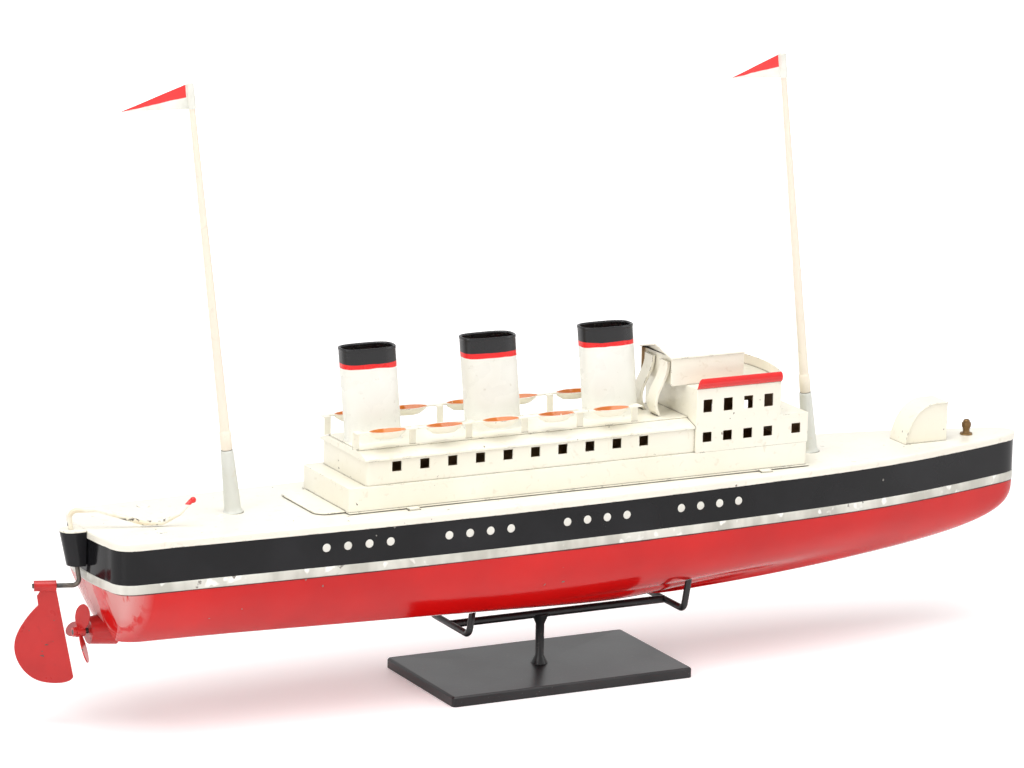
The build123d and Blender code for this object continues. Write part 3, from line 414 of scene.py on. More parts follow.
def clamped_spline(x, y, first, last, at_x):
    """The smooth cubic through points with given end slopes: slopes solve the usual tridiagonal system."""
    h, slope = np.diff(x), np.diff(y) / np.diff(x)
    system, right = np.eye(len(x)), np.array(y, float)
    right[0], right[-1] = first, last
    for i in range(1, len(x) - 1):
        system[i, i - 1:i + 2] = h[i], 2 * (h[i - 1] + h[i]), h[i - 1]
        right[i] = 3 * (h[i] * slope[i - 1] + h[i - 1] * slope[i])
    d = np.linalg.solve(system, right)
    k = np.clip(np.searchsorted(x, at_x) - 1, 0, len(h) - 1)
    t = (at_x - np.asarray(x)[k]) / h[k]
    y = np.asarray(y, float)
    return ((1 + 2 * t) * (1 - t) ** 2 * y[k] + t * (1 - t) ** 2 * h[k] * d[k]
            + t * t * (3 - 2 * t) * y[k + 1] + t * t * (t - 1) * h[k] * d[k + 1])


def bezier(points, count):
    """A cubic Bezier curve."""
    t = np.linspace(0, 1, count)[:, None]
    p = np.asarray(points, float)
    return (1 - t) ** 3 * p[0] + 3 * t * (1 - t) ** 2 * p[1] + 3 * t * t * (1 - t) * p[2] + t ** 3 * p[3]


def waterline(aft=STERN_BULGE, fore=HULL_LENGTH, width=1.0, inset=0.0):
    """Level outline in millimetres, anticlockwise from the stem: blunt nose, full side, round corner, bowed transom."""
    a, length = aft + inset, fore - aft - 2 * inset
    stern_y, waist_y, shoulder_y, foredeck_y = [max(half * width ** tuck, KEEL_FLAT) - inset for half, tuck in (
        (STERN_HALF, STERN_TUCK), (WAIST_HALF, WAIST_TUCK), (SHOULDER_HALF, SHOULDER_TUCK),
        (FOREDECK_HALF, FOREDECK_TUCK))]
    corner = min(STERN_CORNER * width, 0.6 * stern_y)
    nose, nose_y = NOSE_LENGTH * length / HULL_LENGTH, max(NOSE_HALF * width ** 0.5 - 0.8 * inset, 0.02)
    end = a + length
    tip = bezier([(end, 0), (end, 0.45 * nose_y), (end - 0.36 * nose, nose_y - 0.19 * nose), (end - nose, nose_y)], 12)
    stations = [a + corner, a + 0.28 * length, a + 0.68 * length, a + 0.838 * length, end - nose]
    halves = [stern_y, waist_y, shoulder_y, foredeck_y, nose_y]
    x = np.linspace(stations[-1], stations[0], 90)
    side = np.column_stack([x, clamped_spline(stations, halves, 0.03, -0.3, x)])
    turn = bezier([(a + corner, stern_y), (a + 0.4 * corner, stern_y), (a, stern_y - 0.4 * corner),
                   (a, stern_y - corner)], 12)
    half, bow = stern_y - corner, STERN_BULGE * width
    y = np.linspace(half, 0, 12)
    radius = (half ** 2 + bow ** 2) / (2 * bow)
    back = np.column_stack([a - bow + radius - np.sqrt(radius ** 2 - y ** 2), y])
    port = np.concatenate([tip, side[1:], turn[1:], back[1:]])
    return np.concatenate([port, (port * (1, -1))[-2:0:-1]])


def placed(plan):
    """A plan in millimetres from the stern, moved to the frame in metres."""
    return plan * MM + (STERN, 0)


def ring(name, rows):
    """A solid band: rows of (inset in millimetres, height in metres) round the deck outline, joined into a loop."""
    grid = [np.column_stack([placed(waterline(inset=inset)), np.full(len(waterline()), z)]) for inset, z in rows]
    return surface(name, np.array(grid), wrap_rows=True, wrap_columns=True)


def ripple(turns, seed, size=1.0):
    """A slow wander round a closed outline: a few seeded sine waves of equal chance."""
    draw = np.random.default_rng(seed)
    share = np.linspace(0, 2 * pi, len(waterline()), endpoint=False)
    waves = sum(np.sin(share * k + draw.uniform(0, 2 * pi)) * draw.uniform(0.4, 1.0) for k in turns)
    return size * waves / len(turns)


def hull_side(s):
    """Half beam of the deck outline in millimetres at a station."""
    port = waterline()[:len(waterline()) // 2 + 1]
    return np.interp(s, port[::-1, 0][10:], port[::-1, 1][10:])


# ---------------------------------------------------------------- what a user would change
def colour_property(name, description, value):
    return FloatVectorProperty(name=name, description=description, subtype="COLOR", size=3, min=0, max=1,
                               default=value)


def size_property(name, description, value):
    return FloatProperty(name=name, description=description, unit="LENGTH", subtype="DISTANCE", default=value,
                         precision=5)


class LinerColours(bpy.types.PropertyGroup):
    """Colours of the enamels and metals."""
    red: colour_property("Hull red", "Enamel of the lower hull", (0.66, 0.006, 0.005))
    red_shade: colour_property("Hull red, thick", "Where the hull's enamel is thicker", (0.50, 0.003, 0.004))
    fitting_red: colour_property("Fitting red", "Enamel of the rudder, screw and stern tube", (0.58, 0.022, 0.020))
    black: colour_property("Strake black", "Enamel of the upper strake and funnel tops", (0.006, 0.006, 0.007))
    seam: colour_property("Seam white", "Enamel brushed over the soldered seam", (0.72, 0.71, 0.64))
    cream: colour_property("Cream", "Enamel of the deck and houses", (0.90, 0.875, 0.765))
    cream_shade: colour_property("Cream, yellowed", "Where the cream has yellowed", (0.85, 0.805, 0.665))
    funnel: colour_property("Funnel white", "Enamel of the funnels", (0.88, 0.885, 0.83))
    orange: colour_property("Orange", "Enamel inside the lifeboats", (0.66, 0.195, 0.022))
    mast: colour_property("Mast ivory", "Enamel of the masts", (0.88, 0.77, 0.66))
    socket: colour_property("Socket white", "Enamel of the mast sockets", (0.72, 0.735, 0.69))
    signal: colour_property("Signal red", "Funnel bands, dodgers and pennants", (0.80, 0.012, 0.012))
    lining: colour_property("Lining brown", "Lacquer inside the houses", (0.46, 0.29, 0.16))
    stand: colour_property("Stand black", "Lacquer of the stand", (0.010, 0.010, 0.011))
    brass: colour_property("Brass", "Old brass of the capstan and clockwork", (0.36, 0.235, 0.105))
    steel: colour_property("Steel", "Dark steel of wire and shafts", (0.11, 0.105, 0.10))


class LinerSizes(bpy.types.PropertyGroup):
    """Small sizes that the frame leaves open."""
    rim_round: size_property("Rim rounding", "Radius of the deck lid's turned edge", 0.9 * MM)
    seam_lump: size_property("Solder lumps", "How far the solder along the seam stands up", 0.22 * MM)
    porthole: size_property("Porthole", "Radius of a porthole eyelet", 2.0 * MM)
    eyelet: size_property("Eyelet height", "How far an eyelet stands off the strake", 0.34 * MM)
    funnel_bead: size_property("Funnel bead", "Radius of the rolled rim", 0.78 * MM)
    red_band: size_property("Red band", "Height of the red band on a funnel", 2.4 * MM)
    black_top: size_property("Black top", "Height of the black top of a funnel", 7.4 * MM)
    blade_round: size_property("Blade edge", "Rounding of the rudder blade's edge", 0.32 * MM)
    hull_slices: IntProperty(name="Hull slices", description="Rows of faces down the hull", default=56, min=12)


def tint(name):
    """One of the user's colours as a plain tuple."""
    return tuple(getattr(bpy.context.scene.liner_colours, name))


def sizes():
    return bpy.context.scene.liner_sizes


PAINTS = {}


def paint_of(name):
    """Each finish is made once and shared."""
    if name not in PAINTS:
        PAINTS[name] = RECIPES[name]()
    return PAINTS[name]


# ---------------------------------------------------------------- finishes
def edge_chips_and_corner_shade(paint, body, chip, amount):
    """Chips along the edges of the sheet, and painted shade in its corners from ambient occlusion."""
    round_normal = paint.node("ShaderNodeBevel", {"samples": 4}, Radius=0.45 * MM).outputs[0]
    flat = paint.node("ShaderNodeNewGeometry").outputs["Normal"]
    dot = paint.node("ShaderNodeVectorMath", {"operation": "DOT_PRODUCT"})
    paint.tree.links.new(round_normal, dot.inputs[0])
    paint.tree.links.new(flat, dot.inputs[1])
    edge = (1 - Sock(paint.tree, dot.outputs["Value"])).above(0.05, 0.06)
    ragged = (paint.noise(150, 4.0, distortion=0.5)).above(amount, 0.03)
    # Painted shade: where ambient occlusion finds corners and gaps, the colour is darkened to dark brown, broken up by
    # noise.
    corner = paint.node("ShaderNodeAmbientOcclusion", {"samples": 6}, Distance=1.3 * MM).outputs["AO"]
    corner_shade = Sock(paint.tree, corner).below(0.56, 0.34) * (paint.noise(70, 3.0) * 1.1 + 0.20)
    body = paint.mix(corner_shade.math("MINIMUM", 0.95), body, (0.10, 0.075, 0.05))
    return paint.mix(edge * ragged, body, chip), edge * ragged


def old_cream(name, colour, shade, amount=0.60):
    """Cream brushed enamel on folded sheet, yellowed in patches, chipped along the folds, with painted shade in the
    corners.
    """
    paint = Paint(name, coat_weight=0.22, coat_roughness=0.12)
    body = paint.mix(paint.noise(22, 4.0).above(0.52, 0.45), colour, shade)
    body = paint.mix(paint.noise(260, 5.0, distortion=0.7).above(0.66, 0.10) * 0.30, body, (0.62, 0.55, 0.40))
    flaw = (paint.noise(360, 2.0) * 0.72 + paint.noise(42, 1.0) * 0.28).above(0.705, 0.010)
    body = paint.mix(flaw, body, (0.20, 0.17, 0.13))
    body, chipped = edge_chips_and_corner_shade(paint, body, (0.13, 0.11, 0.09), amount=amount)
    paint.base(body)
    paint.feed("Roughness", paint.noise(130, 3.0) * 0.20 + 0.22 + chipped * 0.3)
    ridges = paint.noise(480, 2.0, stretch=(0.12, 1, 1)) + paint.noise(40, 2.0) * 2.6
    paint.bump(ridges - (flaw + chipped) * 0.9, 0.00007, 0.6)
    return paint


def hull_red():
    """Deep gloss red, a painted shadow line just under the seam's lower lip, and a scuffed transom where old white
    shows through.
    """
    paint = Paint("hull_red_enamel", coat_weight=0.0, specular_ior_level=0.34)
    body = paint.mix(paint.noise(17, 3.0).above(0.5, 0.4), tint("red"), tint("red_shade"))
    x, z = paint.axis("X"), paint.axis("Z")
    aft = x.below(STERN + 15 * MM, 12 * MM) * z.above(DECK - 47 * MM, 20 * MM)
    scuff = (paint.noise(95, 5.0, stretch=(1, 1, 0.45), distortion=0.9)).above(0.47, 0.10) * aft
    body = paint.mix(scuff * 0.72, body, (0.72, 0.42, 0.40))
    # Painted shadow: a dark band on the hull just under the seam's lower lip, with a wandering edge.
    wander = paint.noise(60, 3.0) * (0.9 * MM)
    line = (z + wander).above(SEAM_LOW - 0.10 * MM, 0.35 * MM)
    body = paint.mix(line * 0.9, body, (0.035, 0.02, 0.018))
    chip = (paint.noise(230, 1.0) * 0.7 + paint.noise(33, 1.0) * 0.3).above(0.735, 0.008)
    paint.base(paint.mix(chip, body, (0.18, 0.15, 0.13)))
    paint.feed("Roughness", paint.noise(80, 2.0) * 0.08 + 0.10 + scuff * 0.3 + chip * 0.4)
    paint.bump(paint.noise(28, 2.0) * 3.0 + paint.noise(420, 2.0, stretch=(0.08, 1, 1)) * 0.35 - chip, 0.00009, 0.5)
    return paint


def strake_black():
    """Gloss black with faint brush ridges along it and a few pale nicks."""
    paint = Paint("strake_black_enamel", coat_weight=0.0, specular_ior_level=0.22)
    cloud = paint.noise(30, 4.0)
    body = paint.mix(cloud.above(0.55, 0.3), tint("black"), (0.012, 0.012, 0.014))
    nick = (paint.noise(310, 1.0) * 0.7 + paint.noise(50, 1.0) * 0.3).above(0.74, 0.008)
    paint.base(paint.mix(nick, body, (0.22, 0.21, 0.19)))
    paint.feed("Roughness", cloud * 0.10 + 0.07 + nick * 0.4)
    paint.bump(paint.noise(460, 2.0, stretch=(0.06, 1, 1)) * 0.5 + paint.noise(30, 2.0) * 2.2, 0.00008, 0.45)
    return paint


def seam_white():
    """White brushed over lumpy solder, with painted highlights where the solder stands up and painted shade in between.
    """
    paint = Paint("seam_white_enamel", coat_weight=0.35, coat_roughness=0.10)
    # Painted light: the colour follows the lump height that also drives the bump, grey painted shade where the solder
    # is low and white where it stands up.
    patch = paint.noise(75, 3.0, stretch=(1, 1, 0.4))
    body = paint.mix(patch.above(0.50, 0.22), (0.50, 0.49, 0.43), tint("seam"))
    # Painted highlights: small bright spots on the solder.
    body = paint.mix(paint.noise(140, 2.0).above(0.66, 0.06), body, (0.90, 0.89, 0.84))
    bare = (paint.noise(240, 3.0) * 0.7 + paint.noise(36, 1.0) * 0.3).above(0.66, 0.02)
    paint.base(paint.mix(bare, body, (0.22, 0.20, 0.17)))
    paint.feed("Roughness", patch * 0.25 + 0.20)
    paint.bump(patch * 2.0 + paint.noise(300, 3.0), 0.00016, 0.8)
    return paint


def funnel_paint():
    """Funnel: white below, a hand-laid red band and a gloss black top, with edges that wander."""
    s = sizes()
    paint = Paint("funnel_enamel", coat_weight=0.15, coat_roughness=0.07, specular_ior_level=0.3)
    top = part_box("funnel_aft")[1].z
    wander = paint.noise(75, 2.0) * (1.3 * MM) - 0.65 * MM
    height = paint.axis("Z") + wander
    white = paint.mix(paint.noise(28, 3.0).above(0.5, 0.4), tint("funnel"), (0.79, 0.78, 0.70))
    white = paint.mix(paint.noise(300, 4.0).above(0.70, 0.08) * 0.3, white, (0.5, 0.46, 0.36))
    black_edge = top - s.black_top
    body = paint.mix(height.above(black_edge - s.red_band, 0.12 * MM), white, tint("signal"))
    upper = paint.axis("Z") + (paint.noise(95, 2.0) * (1.0 * MM) - 0.5 * MM)
    paint.base(paint.mix(upper.above(black_edge, 0.12 * MM), body, tint("black")))
    paint.feed("Roughness", paint.noise(110, 3.0) * 0.16 + 0.20)
    paint.bump(paint.noise(330, 2.0, stretch=(1, 1, 0.15)) + paint.noise(60, 2.0) * 2.0, 0.00009, 0.55)
    return paint


def tiller_paint(colour, tip_z):
    """Bent wire: cream on the deck side, rubbed to dark metal where it sweeps low, red at the tip, bare below."""
    paint = Paint("tiller_wire_enamel", coat_weight=0.2)
    x, z = paint.axis("X"), paint.axis("Z")
    cream = paint.mix(paint.noise(120, 3.0).above(0.5, 0.3), colour, (0.76, 0.66, 0.48))
    low = z.below(DECK + 4.6 * MM, 1.0 * MM) * x.above(STERN + 8 * MM, 2 * MM)
    worn = (paint.noise(210, 4.0)).above(0.50, 0.05) * low
    body = paint.mix(worn, cream, (0.07, 0.055, 0.045))
    body = paint.mix((z + paint.noise(200, 1.0) * (0.8 * MM)).above(tip_z - 2.2 * MM, 0.15 * MM), body,
                     tint("signal"))
    steel = paint.mix(paint.noise(160, 4.0).above(0.5, 0.2), (0.045, 0.043, 0.042), (0.13, 0.11, 0.09))
    bare = z.below(DECK - 1.0 * MM, 0.3 * MM)
    paint.base(paint.mix(bare, body, steel))
    paint.feed("Metallic", bare * 0.7)
    paint.feed("Roughness", paint.noise(150, 3.0) * 0.2 + 0.27)
    paint.bump(paint.noise(350, 3.0), 0.00008, 0.6)
    return paint


def pennant_paint(place):
    """Hand-painted pennant: white with a red upper half whose edges wander, kept off the hoist."""
    origin, lean = masthead(place), radians(MAST_RAKE)
    paint = Paint(f"{place}_pennant_enamel", coat_weight=0.3)
    x, z = paint.axis("X") - float(origin[0]), paint.axis("Z") - float(origin[2])
    aside = x * -cos(lean) + z * -sin(lean)
    up = x * -sin(lean) + z * cos(lean)
    length = PENNANT_LENGTH[place] * MM
    middle = -0.50 * PENNANT_HEIGHT * MM
    tip = -0.62 * PENNANT_HEIGHT * MM
    split = aside * ((tip - middle) / length) + middle + (paint.noise(120, 2.0) * (1.1 * MM) - 0.55 * MM)
    red = (up - split).above(0.0, 0.15 * MM) * (aside + paint.noise(160, 1.0) * (0.8 * MM)).above(2.6 * MM, 0.2 * MM)
    white = paint.mix(paint.noise(90, 3.0).above(0.55, 0.3), (0.86, 0.86, 0.80), (0.70, 0.70, 0.62))
    paint.base(paint.mix(red, white, tint("signal")))
    paint.feed("Roughness", paint.noise(130, 3.0) * 0.2 + 0.26)
    paint.bump(paint.noise(260, 3.0, stretch=(0.3, 1, 1)), 0.0001, 0.6)
    return paint


def stand_black():
    """Satin black lacquer with a soft sheen and grey dust."""
    paint = Paint("stand_black_lacquer", coat_weight=0.0, specular_ior_level=0.35)
    cloud = paint.noise(26, 4.0, distortion=0.4)
    body = paint.mix(cloud.above(0.55, 0.3), tint("stand"), (0.022, 0.022, 0.023))
    dust = paint.noise(900, 2.0).above(0.72, 0.03)
    paint.base(paint.mix(dust * 0.35, body, (0.16, 0.16, 0.16)))
    paint.feed("Roughness", cloud * 0.16 + 0.27)
    paint.bump(paint.noise(700, 3.0) + paint.noise(35, 2.0) * 1.5, 0.00005, 0.45)
    return paint


BOAT_FIRST, BOAT_PITCH, BOAT_ASIDE = STERN + 144.5 * MM, 29.3 * MM, 19.4 * MM


def lifeboat_paint():
    """Cream outside; the orange inside runs over most of the flat rim, in an oval round each boat's middle."""
    paint = old_cream("lifeboat_cream_enamel", tint("cream"), tint("cream_shade"), amount=0.64)
    cream = paint.shader.inputs["Base Color"].links[0].from_socket
    rim = span("lifeboats_starboard", 2)[1]
    x = paint.axis("X") - (BOAT_FIRST - BOAT_PITCH / 2)
    along = x.math("MODULO", BOAT_PITCH) - BOAT_PITCH / 2
    aside = paint.axis("Y").math("ABSOLUTE") - BOAT_ASIDE
    wander = paint.noise(260, 2.0) * 0.16 - 0.08
    reach = along * along * (1 / (9.3 * MM) ** 2) + aside * aside * (1 / (4.05 * MM) ** 2)
    inside = (reach + wander).below(1.0, 0.05) * paint.axis("Z").above(rim - 0.25 * MM, 0.05 * MM)
    paint.base(paint.mix(inside, cream, tint("orange")))
    return paint


RECIPES = {
    "lifeboat": lifeboat_paint,
    "hull_red": hull_red,
    "strake_black": strake_black,
    "seam_white": seam_white,
    "funnel": funnel_paint,
    "fitting_red": lambda: enamel("fitting_red_enamel", tint("fitting_red"), (0.40, 0.010, 0.010), (0.10, 0.07, 0.06),
                                  roughness=0.30, coat=0.5, chips=0.69),
    "stand_black": stand_black,
    "cream": lambda: old_cream("cream_enamel", tint("cream"), tint("cream_shade")),
    "deck_cream": lambda: old_cream("deck_cream_enamel", tint("cream"), (0.83, 0.78, 0.68), amount=0.56),
    "socket": lambda: old_cream("socket_enamel", tint("socket"), (0.62, 0.63, 0.57), amount=0.66),
    "mast": lambda: enamel("mast_enamel", tint("mast"), (0.86, 0.80, 0.66), (0.45, 0.36, 0.27),
                           roughness=0.34, coat=0.15, chips=0.73),
    "eyelet": lambda: enamel("eyelet_enamel", (0.84, 0.83, 0.77), (0.66, 0.65, 0.58), roughness=0.30, chips=0.75),
    "orange": lambda: enamel("lifeboat_orange_enamel", tint("orange"), (0.47, 0.115, 0.012),
                             (0.72, 0.60, 0.42), roughness=0.20, coat=0.8, chips=0.71),
    "signal": lambda: enamel("signal_red_enamel", tint("signal"), (0.62, 0.008, 0.008), roughness=0.16,
                             coat=1.0, chips=0.76),
    "lining": lambda: enamel("brown_lining", tint("lining"), (0.30, 0.19, 0.10), (0.25, 0.20, 0.15),
                             roughness=0.50, coat=0.0, chips=0.74),
    "brass": lambda: metal("old_brass", tint("brass"), (0.17, 0.10, 0.045), 0.42),
    "steel": lambda: metal("dark_steel", tint("steel"), (0.055, 0.05, 0.045), 0.38, grain=(0.1, 1, 1)),
    "spring": lambda: metal("blued_spring", (0.10, 0.13, 0.20), (0.05, 0.05, 0.07), 0.32, grain=(1, 1, 0.1)),
}


def fold(paint, widths):
    """Rounded copies of CAD nodes in one paint: node and edge width in millimetres."""
    for node, width in widths.items():
        stand_for(folded_copy(node, width * MM), paint_of(paint), node)


# ---------------------------------------------------------------- hull pieces
class LINER_OT_lower_hull(bpy.types.Operator):
    """Smooth red shell: level outlines down a superellipse from the seam to the keel"""
    bl_idname = "liner.lower_hull"
    bl_label = "Lower hull"

    def execute(self, context):
        depth = (HULL_JOIN - KEEL) / MM
        angle = np.radians(np.linspace(0, BILGE_END, sizes().hull_slices))
        last = sin(radians(BILGE_END)) ** (2 / FULLNESS)
        rows = []
        for share, width in zip(np.sin(angle) ** (2 / FULLNESS), np.cos(angle) ** (2 / FULLNESS)):
            rise = max(0.0, (share - KEEL_STEP) / (1 - KEEL_STEP)) ** 0.87
            aft = STERN_BULGE + TRANSOM_RAKE * share + KEEL_RISE * rise
            plan = placed(waterline(aft, HULL_LENGTH - FOREFOOT * share ** 3.6, width, 0.6))
            rows.append(np.column_stack([plan, np.full(len(plan), HULL_JOIN - depth * MM * share / last)]))
        bottom = rows[-1]
        for share in (0.66, 0.33, 0.0):
            rows.append(bottom * (1, share, 1))
        piece = surface("lower_hull_shell", np.array(rows), wrap_columns=True)
        edit(piece, lambda mesh: bmesh.ops.remove_doubles(mesh, verts=mesh.verts, dist=1e-6))
        upward(piece, (0, 0, -1))
        thickened(piece)
        stand_for(piece, paint_of("hull_red"), "lower_hull")
        return {"FINISHED"}


def upward(piece, direction=(0, 0, 1)):
    """Makes an open sheet's normals agree, and face a direction on the whole."""
    def work(mesh):
        bmesh.ops.recalc_face_normals(mesh, faces=mesh.faces)
        total = sum((face.normal * face.calc_area() for face in mesh.faces), Vector())
        if total.dot(Vector(direction)) < 0:
            bmesh.ops.reverse_faces(mesh, faces=mesh.faces)
    return edit(piece, work)


class LINER_OT_strake(bpy.types.Operator):
    """Black band round the hull with its portholes"""
    bl_idname = "liner.strake"
    bl_label = "Upper strake and portholes"

    def execute(self, context):
        low, middle, top = HULL_JOIN, (HULL_JOIN + STRAKE_TOP) / 2, STRAKE_TOP
        piece = ring("upper_strake_band",
                     [(0.6, low), (0.6, middle), (0.6, top), (1.2, top), (1.2, middle), (1.2, low)])
        stand_for(softened(piece, 0.1 * MM), paint_of("strake_black"), "upper_strake")
        for side, name in ((-1, "starboard"), (1, "port")):
            domes = [self.dome(105.0 + 62.0 * group + 10.7 * i, side) for group in range(4) for i in range(4)]
            stand_for(joined(f"portholes_{name}_domes", domes), paint_of("eyelet"), f"portholes_{name}")
        return {"FINISHED"}

    def dome(self, s, side):
        """A shallow cap: radius and height follow a quarter ellipse with a small flat foot."""
        r, h = sizes().porthole, sizes().eyelet
        angle = np.linspace(0, pi / 2 - 0.03, 7)
        profile = [(-0.5 * MM, r), (0.0, r)] + [(h * sin(a) ** 0.8, r * cos(a) ** 0.55) for a in angle[1:]]
        lean = side * atan2(hull_side(s + 4) - hull_side(s - 4), 8)
        outward_axis = (-sin(lean), side * cos(lean), 0)
        middle = at(s, side * (hull_side(s) - 0.6), -10.8)
        return turned("porthole", profile, middle, outward_axis, 28)


class LINER_OT_seam(bpy.types.Operator):
    """White soldered seam: a low bead whose face and edges wander with the solder"""
    bl_idname = "liner.seam"
    bl_label = "Waterline seam"

    def execute(self, context):
        lump = sizes().seam_lump / MM
        wave = [ripple(range(14, 60, 5), seed, 1.0) for seed in (3, 8, 21)]
        height = SEAM_TOP - SEAM_LOW
        angle = np.linspace(0, pi, 9)
        outline = placed(waterline(inset=0.6))
        normal = plan_normals(outline)
        rows = []
        for k, a in enumerate(angle):
            bulge = (0.32 + lump * (wave[0] * sin(a) + 0.5 * wave[1] * sin(2 * a))) * sin(a) ** 0.45 * MM
            z = SEAM_LOW + height * (1 - cos(a)) / 2 + 0.35 * MM * wave[2] * (abs(cos(a)) > 0.5) * 0.5
            z = np.clip(z, SEAM_LOW, SEAM_TOP)
            rows.append(np.column_stack([outline + np.clip(bulge, 0.02 * MM, 0.6 * MM)[:, None] * normal, z]))
        for z in (SEAM_TOP, SEAM_LOW):
            rows.append(np.column_stack([outline - 0.02 * MM * normal, np.full(len(outline), z)]))
        piece = surface("waterline_seam_bead", np.array(rows), wrap_rows=True, wrap_columns=True)
        stand_for(piece, paint_of("seam_white"), "waterline_seam")
        return {"FINISHED"}


HATCH, HATCH_HALF, TABS, TAB_ASIDE, SLOT_PLAY = (134.0, 196.0), 19.5, (154.0, 342.0), 29.6, 0.5


class LINER_OT_deck(bpy.types.Operator):
    """Cream lid: a plate with its winding hatch and tab slots, rolled over at the rim"""
    bl_idname = "liner.deck"
    bl_label = "Deck lid"

    def execute(self, context):
        radius = sizes().rim_round / MM
        wave = ripple(range(9, 40, 4), 5, 0.12)
        angle = np.linspace(0, pi / 2, 7)
        profile = [(0.0, RIM_LOW, 1), (0.0, (RIM_LOW + DECK) / 2, 0.4)]
        profile += [(radius * (1 - cos(a)), DECK - radius * MM * (1 - sin(a)), 0) for a in angle]
        rows = []
        for inset, z, share in profile:
            plan = placed(waterline(inset=inset))
            rows.append(np.column_stack([plan, z + share * np.maximum(wave, 0) * MM]))
        rim = surface("rim", np.array(rows), wrap_columns=True)
        plate = self.plate(rows[-1])
        lid = outward(joined("deck_lid_sheet", [rim, plate]))
        lid = joined("deck_lid_sheet", [thickened(upward(lid)), self.boss()])
        lid.data.set_sharp_from_angle(angle=radians(40))
        stand_for(lid, paint_of("deck_cream"), "deck_lid")
        return {"FINISHED"}

    def plate(self, outline):
        """The flat deck inside the rim, filled round its rectangular holes."""
        along, across = 2.8 + SLOT_PLAY, 0.3 + SLOT_PLAY
        loops = [outline, self.rectangle(HATCH[0], HATCH[1], -HATCH_HALF, HATCH_HALF)]
        for s in TABS:
            for y in (-TAB_ASIDE, TAB_ASIDE):
                loops.append(self.rectangle(s - along, s + along, y - across, y + across))
        mesh = bmesh.new()
        for loop in loops:
            corners = [mesh.verts.new(point) for point in loop]
            for a, b in zip(corners, corners[1:] + corners[:1]):
                mesh.edges.new((a, b))
        bmesh.ops.triangle_fill(mesh, use_beauty=True, use_dissolve=False, edges=mesh.edges[:], normal=(0, 0, 1))
        data = bpy.data.meshes.new("plate")
        mesh.to_mesh(data)
        mesh.free()
        piece = bpy.data.objects.new("plate", data)
        bpy.context.scene.collection.objects.link(piece)
        return piece

    def rectangle(self, s0, s1, y0, y1):
        return [at(s, y) for s, y in ((s0, y0), (s1, y0), (s1, y1), (s0, y1))]

    def boss(self):
        """Pressed boss on the after deck: a low ring with a dished middle."""
        profile = [(-0.1, 3.2), (0.15, 3.1), (0.42, 2.75), (0.48, 2.3), (0.34, 1.9), (0.24, 1.2), (0.22, 0.1)]
        return turned("boss", [(z * MM, r * MM) for z, r in profile], at(41, 26))


MAST_RAKE = 6.4
MAST_PLACE = {"aft": 75.0, "fore": 382.5}
MAST_LENGTH = {"aft": 204.0, "fore": 200.0}
PENNANT_LENGTH = {"aft": 34.0, "fore": 28.0}
PENNANT_HEIGHT, HEAD_SHOWING = 11.5, 0.6


def mast_point(place, up, aside=0.0):
    """A point up a raked mast, and aft of it by `aside`, all in millimetres."""
    lean = radians(MAST_RAKE)
    return at(MAST_PLACE[place] - up * sin(lean) - aside * cos(lean), 0, up * cos(lean) - aside * sin(lean))


def masthead(place):
    """Top of the pennant's hoist on the mast's centre line."""
    return mast_point(place, MAST_LENGTH[place] - HEAD_SHOWING)


def mast_axis():
    return -sin(radians(MAST_RAKE)), 0, cos(radians(MAST_RAKE))


class LINER_OT_sockets(bpy.types.Operator):
    """Tapered mast sockets with a soldered foot and a rolled mouth"""
    bl_idname = "liner.sockets"
    bl_label = "Mast sockets"

    def execute(self, context):
        profile = [(8.9, 2.06), (30.0, 2.06), (30.0, 2.75), (29.8, 2.98), (29.2, 3.02), (20.0, 3.32), (10.0, 3.66),
                   (3.0, 3.90), (1.4, 4.05), (0.5, 4.5), (-0.3, 5.0)]
        for place in MAST_PLACE:
            piece = turned(f"{place}_mast_socket_tube", [(z * MM, r * MM) for z, r in profile],
                           mast_point(place, 0), mast_axis())
            trim_below_deck(piece)
            stand_for(piece, paint_of("socket"), f"{place}_mast_socket")
        return {"FINISHED"}


def trim_below_deck(piece):
    """Lifts what a leaning foot would push through the deck back to the deck's face."""
    co = np.empty(3 * len(piece.data.vertices))
    piece.data.vertices.foreach_get("co", co)
    co[2::3] = np.maximum(co[2::3], DECK - 0.05 * MM)
    piece.data.vertices.foreach_set("co", co)


